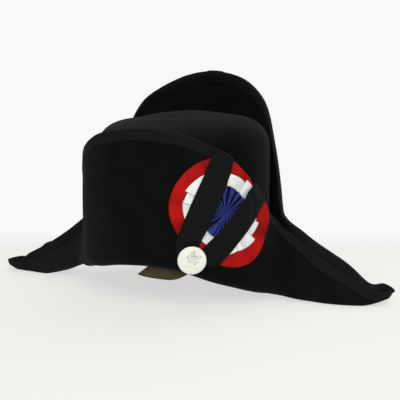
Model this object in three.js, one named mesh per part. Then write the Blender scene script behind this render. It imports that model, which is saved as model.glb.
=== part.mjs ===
import * as THREE from 'three';

// Sizes in millimetres: X runs horn to horn, -Y is the front, +Z is up
const FELT_WALL = 2.6;
const GAP = 0.3;
// Moves the crown's axis so that the origin lies under the middle of the whole hat
const CROWN_AXIS_Y = 3;
const BINDING = { width: 11.6, wall: 1.0 };
const CROWN = {
  halfWidth: 93, halfDepth: 96, taper: 2.5, sideZ: 25, sideTilt: 6.8, frontZ: 58,
  shoulderZ: 159, shoulderReach: 36, shoulderRise: 29.5, topZ: 194, swell: 4.5, swellFrom: 0.34, slump: 3,
};
const FOLD_RADIUS = 9;
const FLAP_BULGE = 1.5;
// Unevenness of the left side: the horn hangs, most at its tip, the front flap's corner stands up
// and the back flap is spread out
const LEFT = {
  droop: { front: 0.8, back: 7.5 }, horn: [[95, 125], [165, 188]], tipDroop: 4.6, tip: [192, 206],
  rise: 3, corner: [[30, 58], [90, 110]], spread: 4.2, flank: [[35, 62], [82, 96]],
};
// How far the horns' folds lie off the middle: to the front on the right, to the back on the left
const SWAY = { reach: 6.5, span: [[100, 140], [195, 222]] };
const KEEL_LIFT = 0.8;
const BACK_LEAN = { reach: 1.7, heights: [110, 180] };
const COCKADE = { x: 74.2, z: 103, cloth: 1.2, pleats: 18 };
const LOOP = { wall: 1.0, tuck: 15 };
const BUTTON = { arc: -32.7, z: 57, radius: 14.4, rim: 2.4, dome: 4.2, seat: 6.5 };
const BAND = { wall: 1.5, height: 38, hang: 3, slant: 1.25, slantBelow: 46 };
// Part of the band that hangs out: lowest point, then its left and right ends
const BAND_TAB = { x: 18, z: 29.6, leftX: 0, leftZ: 33.6, rightX: 40, rightZ: 39 };

// Ribs per station: few along the horns, more round the crown
const RIBS = { horn: 2, crown: 3 };
const ROOT_ROW = 7;

// Right half of the brim from the tip to the middle.
// in_x, in_z or in_deg: inner end on the keel, or angle on the crown's base
// turn: share of the floor of the fold that lies flat; lift: how far the left side sits above the right
// f: outer foot of the fold, a: edge of the front flap, b: edge of the back flap
const BRIM_COLUMNS = ['in_x', 'in_z', 'in_deg', 'turn', 'lift',
  'fx', 'fy', 'fz', 'ax', 'ay', 'az', 'bx', 'by', 'bz'];
const BRIM_ROWS = {
  tip: [219, 6, 0, 0.70, 0, 226, 0, 8.8, 229.5, 0, 15.2, 229.5, 0, 15.2],
  lip: [212, 3, 0, 0.75, 0, 216, 9.5, 4.2, 218, 10.5, 12.5, 218, 10.5, 17.8],
  hook: [200, 0, 0, 0.78, 0, 202, 12.8, 0, 203, 12.5, 18.5, 203, 12, 16.6],
  rest: [178, -1, 0, 0.80, 0, 180, 18, -1, 180, 13, 30.5, 180, 13, 35.1],
  mid: [148, 4, 0, 0.72, 3, 153, 20.5, 2.8, 153, 14.5, 46.5, 149, 14.5, 53.6],
  neck: [124, 12, 0, 0.66, 6, 136, 24.5, 7, 131, 11.5, 62.5, 131, 11, 67.3],
  pinch: [107, 20.5, 0, 0.62, 8, 121, 28, 13.2, 113, 14, 77, 112, 14, 79.8],
  root: [93, 25, 0, 0.58, 6, 110, 38, 12.6, 104, 27, 92, 101.4, 32, 92],
  turn: [0, 0, 22, 0.55, 6.55, 98.3, 51, 17.85, 94.2, 53, 124.5, 90.6, 48, 147],
  cheek: [0, 0, 40, 0.55, 5.1, 84, 73, 25.5, 81.6, 79, 150.5, 76.5, 66, 193.5],
  temple: [0, 0, 55, 0.55, 3.1, 65, 91, 32, 64.5, 97, 165.5, 58, 81.5, 216.5],
  brow: [0, 0, 73, 0.55, 0.6, 35.5, 106.5, 41.2, 35.5, 111.5, 178.5, 33, 92, 231],
  peak: [0, 0, 90, 0.55, 0, 0, 110.5, 43.8, 0, 115, 182.5, 0, 95, 236.6],
};

const named = Object.values(BRIM_ROWS).map(
  (row) => Object.fromEntries(row.map((v, i) => [BRIM_COLUMNS[i], v])));
const SIDE_FLIPPED = ['in_x', 'fx', 'ax', 'bx', 'lift'];
const STATIONS = [...named, ...named.slice(0, -1).reverse().map((row) => {
  const left = { ...row };
  for (const key of SIDE_FLIPPED) left[key] = -left[key];
  left.in_deg = 180 - row.in_deg;
  return left;
})];
const LAST = STATIONS.length - 1;

const clamp = (v, lo, hi) => Math.min(hi, Math.max(lo, v));
const smooth = (v, lo, hi) => {
  const w = clamp((v - lo) / (hi - lo), 0, 1);
  return w * w * (3 - 2 * w);
};
const within = (v, [up, down]) => smooth(v, ...up) * (1 - smooth(v, ...down));
const swayed = (x) => -Math.sign(x) * SWAY.reach * within(Math.abs(x), SWAY.span);

// Value of a column at station u, on a smooth curve through the rows
function column(key, u) {
  const i = clamp(Math.floor(u), 0, LAST - 1);
  const w = u - i;
  // Past a tip the curve runs on into the other flap, so the tip is round
  const past = ['fy', 'ay', 'by'].includes(key) ? -1 : 1;
  const at = (k) => {
    if (k < 0) return past * STATIONS[-k][key];
    return k > LAST ? past * STATIONS[2 * LAST - k][key] : STATIONS[k][key];
  };
  const [p, q] = [at(i), at(i + 1)];
  const m = (q - at(i - 1)) / 2;
  const n = (at(i + 2) - p) / 2;
  const w2 = w * w;
  const w3 = w2 * w;
  return (2 * w3 - 3 * w2 + 1) * p + (w3 - 2 * w2 + w) * m + (3 * w2 - 2 * w3) * q + (w3 - w2) * n;
}

// Rim of the head opening: raised at front and back, lower on the right than on the left
function crownBaseZ(deg) {
  const angle = THREE.MathUtils.degToRad(deg);
  return CROWN.sideZ - CROWN.sideTilt * Math.cos(angle)
    + (CROWN.frontZ - CROWN.sideZ) * Math.sin(angle) ** 2;
}

function crownBase(deg, side) {
  const angle = THREE.MathUtils.degToRad(deg);
  return new THREE.Vector3(CROWN.halfWidth * Math.cos(angle),
    side * CROWN.halfDepth * Math.sin(angle), crownBaseZ(deg));
}

const floorZ = (z) => Math.max(z, 0) + FELT_WALL / 2;
const onCrown = (u) => u >= ROOT_ROW && u <= LAST - ROOT_ROW;

// One rib of the brim as a fine line: crown or keel, fold, flap, edge; side -1 is the front
function ribLine(u, side) {
  const letter = side < 0 ? 'a' : 'b';
  const inner = onCrown(u) ? crownBase(column('in_deg', u), side)
    : new THREE.Vector3(column('in_x', u), swayed(column('in_x', u)),
      floorZ(column('in_z', u) - KEEL_LIFT * column('lift', u)));
  const edge = new THREE.Vector3(column(`${letter}x`, u), side * Math.max(0, column(`${letter}y`, u)),
    column(`${letter}z`, u));
  if (side > 0) edge.x -= BACK_LEAN.reach * smooth(edge.z, ...BACK_LEAN.heights);
  const left = -edge.x;
  edge.z -= LEFT.droop[side < 0 ? 'front' : 'back'] * within(left, LEFT.horn)
    + LEFT.tipDroop * smooth(left, ...LEFT.tip);
  if (side < 0) edge.z += LEFT.rise * within(left, LEFT.corner);
  else edge.x -= LEFT.spread * within(left, LEFT.flank);
  const footZ = floorZ(column('fz', u) - column('lift', u));
  const footX = column('fx', u);
  const foot = new THREE.Vector3(footX, side * Math.max(0, column('fy', u)) + swayed(footX),
    footZ + Math.min(FOLD_RADIUS, 0.4 * (edge.z - footZ)));
  const low = inner.clone().lerp(foot, column('turn', u));
  low.z = Math.min(footZ, inner.z);
  const out = new THREE.Vector3(edge.x, edge.y, 0).normalize();
  const bulge = FLAP_BULGE * smooth(edge.z - foot.z, 40, 120);
  const line = [];
  const steps = 12;
  // The crown's wall comes down upright, the keel lies level
  const upright = smooth(Math.min(u, LAST - u), ROOT_ROW - 2, ROOT_ROW);
  for (let k = 0; k < steps; k += 1) {
    const t = (Math.PI / 2) * (k / steps);
    const [early, late] = [Math.sin(t), 1 - Math.cos(t)];
    const p = inner.clone().lerp(low, THREE.MathUtils.lerp(early, late, upright));
    p.z = THREE.MathUtils.lerp(inner.z, low.z, THREE.MathUtils.lerp(late, early, upright));
    line.push(p);
  }
  for (let k = 0; k < steps; k += 1) {
    const t = (Math.PI / 2) * (k / steps);
    const p = low.clone().lerp(foot, Math.sin(t));
    p.z = foot.z - (foot.z - low.z) * Math.cos(t);
    line.push(p);
  }
  for (let k = 0; k <= 2 * steps; k += 1) {
    const w = k / (2 * steps);
    line.push(foot.clone().lerp(edge, w).addScaledVector(out, 4 * bulge * w * (1 - w)));
  }
  return { line, turns: [steps, 2 * steps] };
}

// Lengths along a line and the point at a given length
function measured(line) {
  const at = [0];
  for (let k = 1; k < line.length; k += 1) at.push(at[k - 1] + line[k].distanceTo(line[k - 1]));
  const point = (s) => {
    let k = 1;
    while (k < line.length - 1 && at[k] < s) k += 1;
    const w = clamp((s - at[k - 1]) / Math.max(1e-9, at[k] - at[k - 1]), 0, 1);
    return line[k - 1].clone().lerp(line[k], w);
  };
  return { at, total: at[at.length - 1], point };
}

// Columns of a rib: floor of the fold, its turn, the flap, then the bound edge
const SPLIT = { floor: 2, turn: 3, flap: 2 };
const COLUMNS = SPLIT.floor + SPLIT.turn + SPLIT.flap + 1;
function ribPoints(u, side) {
  const { line, turns } = ribLine(u, side);
  const run = measured(line);
  const bound = run.total - Math.min(BINDING.width, 0.45 * run.total);
  const first = Math.min(run.at[turns[0]], 0.36 * bound);
  const second = Math.min(run.at[turns[1]], 0.72 * bound);
  const marks = [0, first, second, bound];
  const points = [];
  Object.values(SPLIT).forEach((n, part) => {
    for (let k = 0; k < n; k += 1) {
      points.push(run.point(marks[part] + (marks[part + 1] - marks[part]) * (k / n)));
    }
  });
  points.push(run.point(bound), run.point(run.total));
  return points;
}

// A sheet of triangles given by points and faces
class Sheet {
  constructor() {
    this.points = [];
    this.faces = [];
  }

  add(point) {
    this.points.push(point.clone());
    return this.points.length - 1;
  }

  quad(a, b, c, d) {
    if (a !== b && b !== c && a !== c) this.faces.push([a, b, c]);
    if (a !== c && c !== d && a !== d) this.faces.push([a, c, d]);
  }

  normals() {
    const sums = this.points.map(() => new THREE.Vector3());
    for (const [a, b, c] of this.faces) {
      const [p, q, r] = [a, b, c].map((i) => this.points[i]);
      const n = q.clone().sub(p).cross(r.clone().sub(p));
      for (const i of [a, b, c]) sums[i].add(n);
    }
    return sums.map((n) => n.normalize());
  }

  // Closed solid of an even wall about the sheet
  thicken(wall) {
    const normals = this.normals();
    const count = this.points.length;
    const points = [...this.points.map((p, i) => p.clone().addScaledVector(normals[i], wall / 2)),
      ...this.points.map((p, i) => p.clone().addScaledVector(normals[i], -wall / 2))];
    const faces = [];
    const open = new Map();
    for (const [a, b, c] of this.faces) {
      faces.push([a, b, c], [a + count, c + count, b + count]);
      for (const [i, j] of [[a, b], [b, c], [c, a]]) {
        if (!open.delete(`${j},${i}`)) open.set(`${i},${j}`, [i, j]);
      }
    }
    for (const [i, j] of open.values()) {
      faces.push([j, i, i + count], [j, i + count, j + count]);
    }
    return solid(points, faces);
  }
}

// Indexed geometry whose faces look outward
function solid(points, faces) {
  let volume = 0;
  for (const [a, b, c] of faces) {
    volume += points[a].dot(points[b].clone().cross(points[c]));
  }
  const geometry = new THREE.BufferGeometry();
  geometry.setAttribute('position',
    new THREE.Float32BufferAttribute(points.flatMap((p) => p.toArray()), 3));
  geometry.setIndex(faces.flatMap((f) => (volume < 0 ? [f[0], f[2], f[1]] : f)));
  geometry.computeVertexNormals();
  return geometry;
}

// Stations of the ribs from the right tip to the left tip
function ribStations() {
  const list = [];
  for (let i = 0; i < LAST; i += 1) {
    const n = onCrown(i) && onCrown(i + 1) ? RIBS.crown : RIBS.horn;
    for (let k = 0; k < n; k += 1) list.push(i + k / n);
  }
  return [...list, LAST];
}

// The felt as one sheet, with the rows of points that the edge ribbon follows
function feltSheet() {
  const sheet = new Sheet();
  const stations = ribStations();
  const inner = new Map();
  const grids = {};
  for (const side of [-1, 1]) {
    grids[side] = stations.map((u, i) => {
      const tip = i === 0 || i === stations.length - 1;
      if (tip && side > 0) return grids[-1][i];
      return ribPoints(u, side).map((point, j) => {
        const shared = j === 0 && (!onCrown(u) || u === ROOT_ROW || u === LAST - ROOT_ROW);
        if (!shared) return sheet.add(point);
        if (!inner.has(i)) inner.set(i, sheet.add(point));
        return inner.get(i);
      });
    });
    for (let i = 0; i + 1 < stations.length; i += 1) {
      const [p, q] = [grids[side][i], grids[side][i + 1]];
      for (let j = 0; j < COLUMNS; j += 1) {
        if (side > 0) sheet.quad(p[j], q[j], q[j + 1], p[j + 1]);
        else if (i < (stations.length - 1) / 2) sheet.quad(p[j + 1], q[j + 1], q[j], p[j]);
        else sheet.quad(p[j], p[j + 1], q[j + 1], q[j]);
      }
    }
  }
  addCrown(sheet, stations, grids);
  return { sheet, stations, grids };
}

// Crown wall, shoulder and top over the inner ends of the ribs
function addCrown(sheet, stations, grids) {
  const around = [];
  stations.forEach((u, i) => {
    if (onCrown(u)) around.push({ deg: -column('in_deg', u), base: grids[-1][i][0] });
  });
  [...stations.keys()].reverse().forEach((i) => {
    const u = stations[i];
    if (u > ROOT_ROW && u < LAST - ROOT_ROW) {
      around.push({ deg: column('in_deg', u), base: grids[1][i][0] });
    }
  });
  const levels = crownLevels();
  let below = around.map((spot) => spot.base);
  for (const level of levels) {
    const ring = around.map((spot) => {
      const angle = THREE.MathUtils.degToRad(spot.deg);
      const z = level.up === undefined ? level.z
        : THREE.MathUtils.lerp(crownBaseZ(spot.deg), CROWN.shoulderZ, level.up);
      // The right side swells, the left shoulder slumps
      const swell = CROWN.swell * level.swell * Math.max(0, Math.cos(angle));
      const slump = CROWN.slump * level.slump * Math.max(0, -Math.cos(angle));
      return sheet.add(new THREE.Vector3(Math.cos(angle) * (CROWN.halfWidth - level.inset) + swell,
        Math.sin(angle) * (CROWN.halfDepth - level.inset), z - slump));
    });
    around.forEach((spot, k) => {
      const next = (k + 1) % around.length;
      sheet.quad(below[k], below[next], ring[next], ring[k]);
    });
    below = ring;
  }
  const top = sheet.add(new THREE.Vector3(0, 0, CROWN.topZ));
  around.forEach((spot, k) => sheet.faces.push([below[k], below[(k + 1) % around.length], top]));
}

// Rings of the crown: inset from the base ellipse, height, and shares of the swell and the slump
function crownLevels() {
  const list = [CROWN.swellFrom, 0.67, 1].map((up) => ({
    up, inset: CROWN.taper * up, swell: smooth(up, CROWN.swellFrom, 1), slump: 0,
  }));
  for (const deg of [22.5, 45, 67.5, 90]) {
    const t = THREE.MathUtils.degToRad(deg);
    list.push({
      inset: CROWN.taper + CROWN.shoulderReach * (1 - Math.cos(t)),
      z: CROWN.shoulderZ + CROWN.shoulderRise * Math.sin(t),
      swell: 1,
      slump: Math.sin(t) ** 2,
    });
  }
  const flat = CROWN.taper + CROWN.shoulderReach;
  const lowZ = CROWN.shoulderZ + CROWN.shoulderRise;
  for (const w of [0.35, 0.7]) {
    list.push({
      inset: THREE.MathUtils.lerp(flat, CROWN.halfWidth, w),
      z: THREE.MathUtils.lerp(lowZ, CROWN.topZ, 1 - (1 - w) ** 2),
      swell: 1 - w,
      slump: 1 - w,
    });
  }
  return list;
}

// Ribbon folded over the brim's edge, a channel swept round the whole loop
function bindingSolid({ sheet, grids }) {
  const normals = sheet.normals();
  const near = FELT_WALL / 2 + GAP + 0.1;
  const far = near + BINDING.wall;
  const order = [...grids[-1], ...grids[1].slice(1, -1).reverse()];
  const sections = order.map((rib) => {
    const [p, e] = [rib[COLUMNS - 1], rib[COLUMNS]];
    const out = sheet.points[e].clone().sub(sheet.points[p]).normalize();
    const foot = (d) => sheet.points[p].clone().addScaledVector(normals[p], d);
    const lip = (d, over) => sheet.points[e].clone().addScaledVector(normals[e], d)
      .addScaledVector(out, over);
    return [foot(near), foot(far), lip(far, GAP + BINDING.wall), lip(-far, GAP + BINDING.wall),
      foot(-far), foot(-near), lip(-near, GAP), lip(near, GAP)];
  });
  const size = sections[0].length;
  const frontCount = grids[-1].length - 1;
  const faces = [];
  sections.forEach((section, i) => {
    const a = i * size;
    const b = ((i + 1) % sections.length) * size;
    for (let k = 0; k < size; k += 1) {
      const next = (k + 1) % size;
      // Each leg is split along the same diagonal as the felt under it
      const rising = k === 1 || k === 5;
      const leftFront = i >= frontCount / 2 && i < frontCount;
      if (rising === leftFront) faces.push([a + k, b + k, b + next], [a + k, b + next, a + next]);
      else faces.push([a + k, b + k, a + next], [b + k, b + next, a + next]);
    }
  });
  return solid(sections.flat(), faces);
}

// Outer face of the front flap, by arc from the cockade's middle and height
class FlapFace {
  constructor() {
    this.rows = [];
    let arc = 0;
    let last = null;
    const steps = 240;
    for (let k = 0; k <= steps; k += 1) {
      const u = ROOT_ROW - 0.9 + (5.9 * k) / steps;
      const { line, turns } = ribLine(u, -1);
      const flap = line.slice(turns[0]);
      const middle = flap[Math.floor(flap.length * 0.7)];
      if (last) arc += Math.hypot(middle.x - last.x, middle.y - last.y);
      last = middle;
      this.rows.push({ u, arc, x: middle.x, flap });
    }
    const start = this.rows.find((row) => row.x <= COCKADE.x && row.u > ROOT_ROW);
    this.zero = start.arc;
  }

  // Felt middle at arc a, rightward positive, and height z; z past the edge stays on it
  middle(a, z) {
    const target = this.zero - a;
    let k = 1;
    while (k < this.rows.length - 1 && this.rows[k].arc < target) k += 1;
    const [p, q] = [this.rows[k - 1], this.rows[k]];
    const w = clamp((target - p.arc) / (q.arc - p.arc), 0, 1);
    const flap = p.flap.map((point, i) => point.clone().lerp(q.flap[i], w));
    let i = 1;
    while (i < flap.length - 1 && flap[i].z < z) i += 1;
    const v = clamp((z - flap[i - 1].z) / (flap[i].z - flap[i - 1].z), 0, 1);
    return { point: flap[i - 1].clone().lerp(flap[i], v), edgeZ: flap[flap.length - 1].z };
  }

  normal(a, z) {
    const dx = this.middle(a + 1, z).point.sub(this.middle(a - 1, z).point);
    const low = Math.min(z, this.middle(a, z).edgeZ) - 3;
    const dz = this.middle(a, low + 2).point.sub(this.middle(a, low - 2).point);
    return dx.cross(dz).normalize();
  }

  // Clearance over the edge ribbon where a piece lies near the edge
  over(a, z) {
    const depth = this.middle(a, z).edgeZ - z;
    return (BINDING.wall + GAP) * (1 - smooth(depth, BINDING.width + 3, BINDING.width + 11));
  }

  // Point a given height above the felt's outer face
  at(a, z, height) {
    const reach = Math.min(z, this.middle(a, z).edgeZ);
    return this.middle(a, reach).point.addScaledVector(this.normal(a, reach), FELT_WALL / 2 + height);
  }
}

// Gathered cloth rings: inner and outer radius, middle's offset along the arc and in height
const RING_COLUMNS = ['inner', 'outer', 'arc', 'up', 'rows', 'ripple', 'uneven'];
const RINGS = {
  cockade_red: [27, 57.5, 4.5, -3, 2, 0.3, 0],
  cockade_white: [16, 42.5, 1.5, -2, 2, 0.3, 0.035],
  cockade_blue: [0, 25.5, 0, 0, 3, 0.4, 0.03],
};
const RING_SEGMENTS = 54;

// Share of a ring's radius at an angle that stays on the flap
function ringShare(face, ring, angle) {
  let share = 1;
  while (share > 0.3) {
    const r = ring.outer * share;
    const z = COCKADE.z + ring.up + r * Math.sin(angle);
    if (z < face.middle(ring.arc + r * Math.cos(angle), z).edgeZ - 0.4) break;
    share -= 0.01;
  }
  return share;
}

// A ring laid on the flap: layer counts up from the felt
function cockadeRing(face, layer) {
  const rows = Object.values(RINGS).map(
    (row) => Object.fromEntries(row.map((v, i) => [RING_COLUMNS[i], v])));
  const ring = rows[layer];
  const sheet = new Sheet();
  const seat = GAP + COCKADE.cloth / 2 + layer * (COCKADE.cloth + GAP + 0.5);
  const place = (r, angle, share) => {
    const [a, z] = [ring.arc + r * Math.cos(angle), COCKADE.z + ring.up + r * Math.sin(angle)];
    const wave = ring.ripple * share * Math.cos(COCKADE.pleats * angle);
    return face.at(a, z, seat + 1.7 * face.over(a, z) + 0.35 + wave);
  };
  const circles = [];
  for (let i = 0; i <= ring.rows; i += 1) {
    const share = i / ring.rows;
    if (ring.inner === 0 && i === 0) {
      circles.push([sheet.add(place(0, 0, 0))]);
      continue;
    }
    circles.push(Array.from({ length: RING_SEGMENTS }, (_, k) => {
      const angle = (2 * Math.PI * k) / RING_SEGMENTS;
      const uneven = 1 + ring.uneven * (Math.sin(3 * angle + layer) + 0.6 * Math.sin(7 * angle + 2 * layer));
      const rim = ring.outer * uneven * (layer === 0 ? ringShare(face, ring, angle)
        : 0.55 + 0.45 * ringShare(face, rows[0], angle));
      return sheet.add(place(ring.inner + (rim - ring.inner) * share, angle, share));
    }));
  }
  for (let i = 0; i < ring.rows; i += 1) {
    const [low, high] = [circles[i], circles[i + 1]];
    for (let k = 0; k < RING_SEGMENTS; k += 1) {
      const next = (k + 1) % RING_SEGMENTS;
      if (low.length === 1) sheet.faces.push([low[0], high[k], high[next]]);
      else sheet.quad(low[k], high[k], high[next], low[next]);
    }
  }
  return sheet.thicken(COCKADE.cloth);
}

// Height of a ribbon over the cockade's layers, by distance from its middle
const OVER_COCKADE = [[0, 6.6], [28, 6.6], [33, 5.6], [43, 5.2], [48, 3.8], [58, 3.3], [70, 0]];
function overCockade(r) {
  for (let i = 1; i < OVER_COCKADE.length; i += 1) {
    const [[r0, h0], [r1, h1]] = [OVER_COCKADE[i - 1], OVER_COCKADE[i]];
    if (r <= r1) return THREE.MathUtils.lerp(h0, h1, smooth(r, r0, r1));
  }
  return 0;
}

// Edge lines of the V ribbon on the flap: arc and height from the cockade's middle, top to fold
const LOOP_LINES = {
  leftOuter: [[-9.5, 60], [-30, 17], [-45, -19.5], [-48, -30], [-47.5, -42], [-46.5, -52]],
  leftInner: [[10.5, 50], [-7.2, 8], [-19.8, -20], [-27, -34.3], [-31, -44], [-31, -53]],
  rightInner: [[37, 24.5], [16.5, 9.5], [-1.8, -8.8], [-21.6, -34.3], [-31, -44], [-31, -53]],
  rightOuter: [[53.5, 4], [35.6, -10.5], [15, -28.5], [-4.6, -52], [-10, -53], [-17.3, -54.1]],
};
const LOOP_STEPS = [3, 3, 2, 1, 1];

function loopLine(points) {
  const list = [points[0]];
  LOOP_STEPS.forEach((n, i) => {
    for (let k = 1; k <= n; k += 1) list.push(between(points[i], points[i + 1], k / n));
  });
  return list;
}

const between = (p, q, w) => [0, 1].map((c) => THREE.MathUtils.lerp(p[c], q[c], w));

function loopSolid(face) {
  const sheet = new Sheet();
  const height = (a, dz) => GAP + LOOP.wall / 2 + overCockade(Math.hypot(a, dz))
    + 1.9 * face.over(a, COCKADE.z + dz);
  const place = ([a, dz]) => face.at(a, COCKADE.z + dz, height(a, dz));
  // Turns over the flap's edge and ends a short way down its inner face
  const tucked = ([a]) => {
    const edge = face.middle(a, 1e3).point;
    const normal = face.normal(a, edge.z);
    const inside = face.middle(a, edge.z - LOOP.tuck).point;
    const over = BINDING.wall + 2 * GAP + LOOP.wall / 2 + 0.6;
    const back = FELT_WALL / 2 + over + 0.4;
    const front = FELT_WALL / 2 + height(a, edge.z - COCKADE.z);
    const at = (p, d, up) => p.clone().addScaledVector(normal, d).add(new THREE.Vector3(0, 0, up));
    return [at(inside, -back, 0), at(edge, -back, 0), at(edge, -0.6 * back, over + 0.2),
      at(edge, 0.6 * front, over + 0.2), at(edge, front, 0)];
  };
  const column = (points) => [...tucked(points[0]), ...loopLine(points).map(place)];
  const { leftOuter, leftInner, rightInner, rightOuter } = LOOP_LINES;
  const halfway = (p, q) => p.map((v, i) => between(v, q[i], 0.5));
  const arms = [[leftOuter, halfway(leftOuter, leftInner), leftInner],
    [rightInner, halfway(rightInner, rightOuter), rightOuter]].map((arm) => arm.map(column));
  const rows = arms[0][0].length;
  // Below the fork the two arms share one line
  const shared = rows - 2;
  const left = arms[0].map((line) => line.map((p) => sheet.add(p)));
  const right = arms[1].map((line, c) => line.map(
    (p, i) => (c === 0 && i >= shared ? left[2][i] : sheet.add(p))));
  for (const arm of [left, right]) {
    for (let c = 0; c < 2; c += 1) {
      for (let i = 0; i + 1 < rows; i += 1) {
        sheet.quad(arm[c][i], arm[c][i + 1], arm[c + 1][i + 1], arm[c + 1][i]);
      }
    }
  }
  return sheet.thicken(LOOP.wall);
}

// Domed button with a raised rim, its back on the ribbon
function buttonSolid(face) {
  const { radius, rim, dome } = BUTTON;
  const profile = [[0, 0], [radius - 1.2, 0], [radius, 0.9], [radius, rim - 0.6], [radius - 0.7, rim],
    [radius - 1.8, rim + 0.1], [radius - 2.6, rim], [radius * 0.62, dome - 0.75],
    [radius * 0.34, dome - 0.2], [0, dome]];
  const points = [];
  const faces = [];
  const segments = 32;
  const place = face.at(BUTTON.arc, BUTTON.z, BUTTON.seat);
  const normal = face.normal(BUTTON.arc, BUTTON.z);
  const turn = new THREE.Quaternion().setFromUnitVectors(new THREE.Vector3(0, 0, 1), normal);
  const add = (x, y, z) => points.push(new THREE.Vector3(x, y, z).applyQuaternion(turn).add(place)) - 1;
  const rings = profile.map(([r, h]) => {
    if (r === 0) return [add(0, 0, h)];
    return Array.from({ length: segments }, (_, k) => {
      const t = (2 * Math.PI * k) / segments;
      return add(r * Math.cos(t), r * Math.sin(t), h);
    });
  });
  for (let i = 0; i + 1 < rings.length; i += 1) {
    for (let k = 0; k < segments; k += 1) {
      const next = (k + 1) % segments;
      const [low, high] = [rings[i], rings[i + 1]];
      const at = (ring, j) => ring[ring.length === 1 ? 0 : j];
      if (low.length > 1) faces.push([at(low, k), at(low, next), at(high, next)]);
      if (high.length > 1) faces.push([at(low, k), at(high, next), at(high, k)]);
    }
  }
  return solid(points, faces);
}

// Band inside the crown's base; a part of its lower edge hangs out under the front fold
function bandSolid() {
  const sheet = new Sheet();
  const inset = FELT_WALL / 2 + GAP + 0.2 + BAND.wall / 2;
  const [a, b] = [CROWN.halfWidth - inset, CROWN.halfDepth - inset];
  const near = [-26, -14, -5, -1, 2, 6, 11, 18, 25, 32, 40, 50].map((x) => -Math.acos(x / a));
  const angles = [...near];
  const rest = 34;
  const span = 2 * Math.PI - (near[near.length - 1] - near[0]);
  for (let k = 1; k < rest; k += 1) angles.push(near[near.length - 1] + (span * k) / rest);
  const rows = 3;
  const columns = angles.map((angle) => {
    const [x, y] = [a * Math.cos(angle), b * Math.sin(angle)];
    const base = crownBaseZ((180 * angle) / Math.PI);
    const tabbed = y < 0 && x > BAND_TAB.leftX - 1.5 && x < BAND_TAB.rightX + 5;
    const off = x - BAND_TAB.x;
    const tabZ = BAND_TAB.z + (off < 0
      ? (BAND_TAB.leftZ - BAND_TAB.z) * (off / (BAND_TAB.leftX - BAND_TAB.x)) ** 2
      : (BAND_TAB.rightZ - BAND_TAB.z) * (off / (BAND_TAB.rightX - BAND_TAB.x)) ** 2);
    const low = tabbed ? Math.min(tabZ, base - BAND.hang) : base - BAND.hang;
    return Array.from({ length: rows + 1 }, (_, i) => {
      const z = THREE.MathUtils.lerp(low, base + BAND.height, i / rows);
      const lean = CROWN.taper * clamp((z - CROWN.sideZ) / (CROWN.shoulderZ - CROWN.sideZ), 0, 1);
      const slant = y < 0 && x < BAND_TAB.x ? BAND.slant * Math.max(0, BAND.slantBelow - z)
        * smooth(x, BAND_TAB.leftX - 30, BAND_TAB.leftX) * (1 - smooth(x, BAND_TAB.leftX, BAND_TAB.x)) : 0;
      return sheet.add(new THREE.Vector3(x * (1 - lean / a) - slant, y * (1 - lean / b), z));
    });
  });
  columns.forEach((line, k) => {
    const next = columns[(k + 1) % columns.length];
    for (let i = 0; i < rows; i += 1) sheet.quad(line[i], next[i], next[i + 1], line[i + 1]);
  });
  return sheet.thicken(BAND.wall);
}

const FINISH = {
  felt_body: { color: 0x14171a, roughness: 0.95, metalness: 0 },
  edge_binding: { color: 0x1a1d1d, roughness: 0.8, metalness: 0 },
  cockade_red: { color: 0xb31614, roughness: 0.85, metalness: 0 },
  cockade_white: { color: 0xe2e7e3, roughness: 0.85, metalness: 0 },
  cockade_blue: { color: 0x282d82, roughness: 0.8, metalness: 0 },
  cockade_loop: { color: 0x181a1a, roughness: 0.75, metalness: 0 },
  button: { color: 0xeeefe3, roughness: 0.5, metalness: 0 },
  sweatband: { color: 0x3e3b23, roughness: 0.75, metalness: 0 },
};

function build() {
  const felt = feltSheet();
  const face = new FlapFace();
  const geometry = {
    felt_body: felt.sheet.thicken(FELT_WALL),
    edge_binding: bindingSolid(felt),
    cockade_red: cockadeRing(face, 0),
    cockade_white: cockadeRing(face, 1),
    cockade_blue: cockadeRing(face, 2),
    cockade_loop: loopSolid(face),
    button: buttonSolid(face),
    sweatband: bandSolid(),
  };
  const group = new THREE.Group();
  group.position.y = CROWN_AXIS_Y;
  for (const [name, finish] of Object.entries(FINISH)) {
    const mesh = new THREE.Mesh(geometry[name], new THREE.MeshStandardMaterial(finish));
    mesh.name = name;
    group.add(mesh);
  }
  return group;
}

export default build();
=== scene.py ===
"""Black felt bicorne: bound brim, gathered cockade, ribbon loop, button and sweatband."""

import logging
import math
from dataclasses import dataclass, field
from enum import Enum
from typing import Any, NamedTuple, Optional, Union

import bmesh
import bpy
import numpy as np
from mathutils import Matrix, Vector, noise


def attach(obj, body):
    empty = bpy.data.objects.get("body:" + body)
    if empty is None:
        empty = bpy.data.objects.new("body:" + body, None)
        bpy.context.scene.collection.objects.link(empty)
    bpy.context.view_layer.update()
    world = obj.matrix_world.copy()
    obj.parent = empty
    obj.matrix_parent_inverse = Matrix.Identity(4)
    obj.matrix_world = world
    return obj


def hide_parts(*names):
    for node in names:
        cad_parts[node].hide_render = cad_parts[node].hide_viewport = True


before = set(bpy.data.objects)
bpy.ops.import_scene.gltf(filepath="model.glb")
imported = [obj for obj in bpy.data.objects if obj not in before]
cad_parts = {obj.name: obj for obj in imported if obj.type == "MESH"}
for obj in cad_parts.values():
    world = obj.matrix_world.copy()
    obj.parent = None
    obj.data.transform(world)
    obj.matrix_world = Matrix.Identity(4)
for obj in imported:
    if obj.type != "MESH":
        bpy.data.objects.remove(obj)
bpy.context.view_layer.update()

LOG = logging.getLogger("bicorne")
MM = 0.001
BODY = "root"
CROWN_AXIS_Y = 3.0
CLOTH_MAP = "cloth"
# Mesh attribute that holds painted shade for folds and hollows
FOLD_SHADE = "fold"

Colour = tuple[float, float, float]
Place = tuple[float, float, float]
Point = tuple[float, float]
Span = tuple[Point, Point]
Line = tuple[Point, ...]


# Small maths

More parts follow.
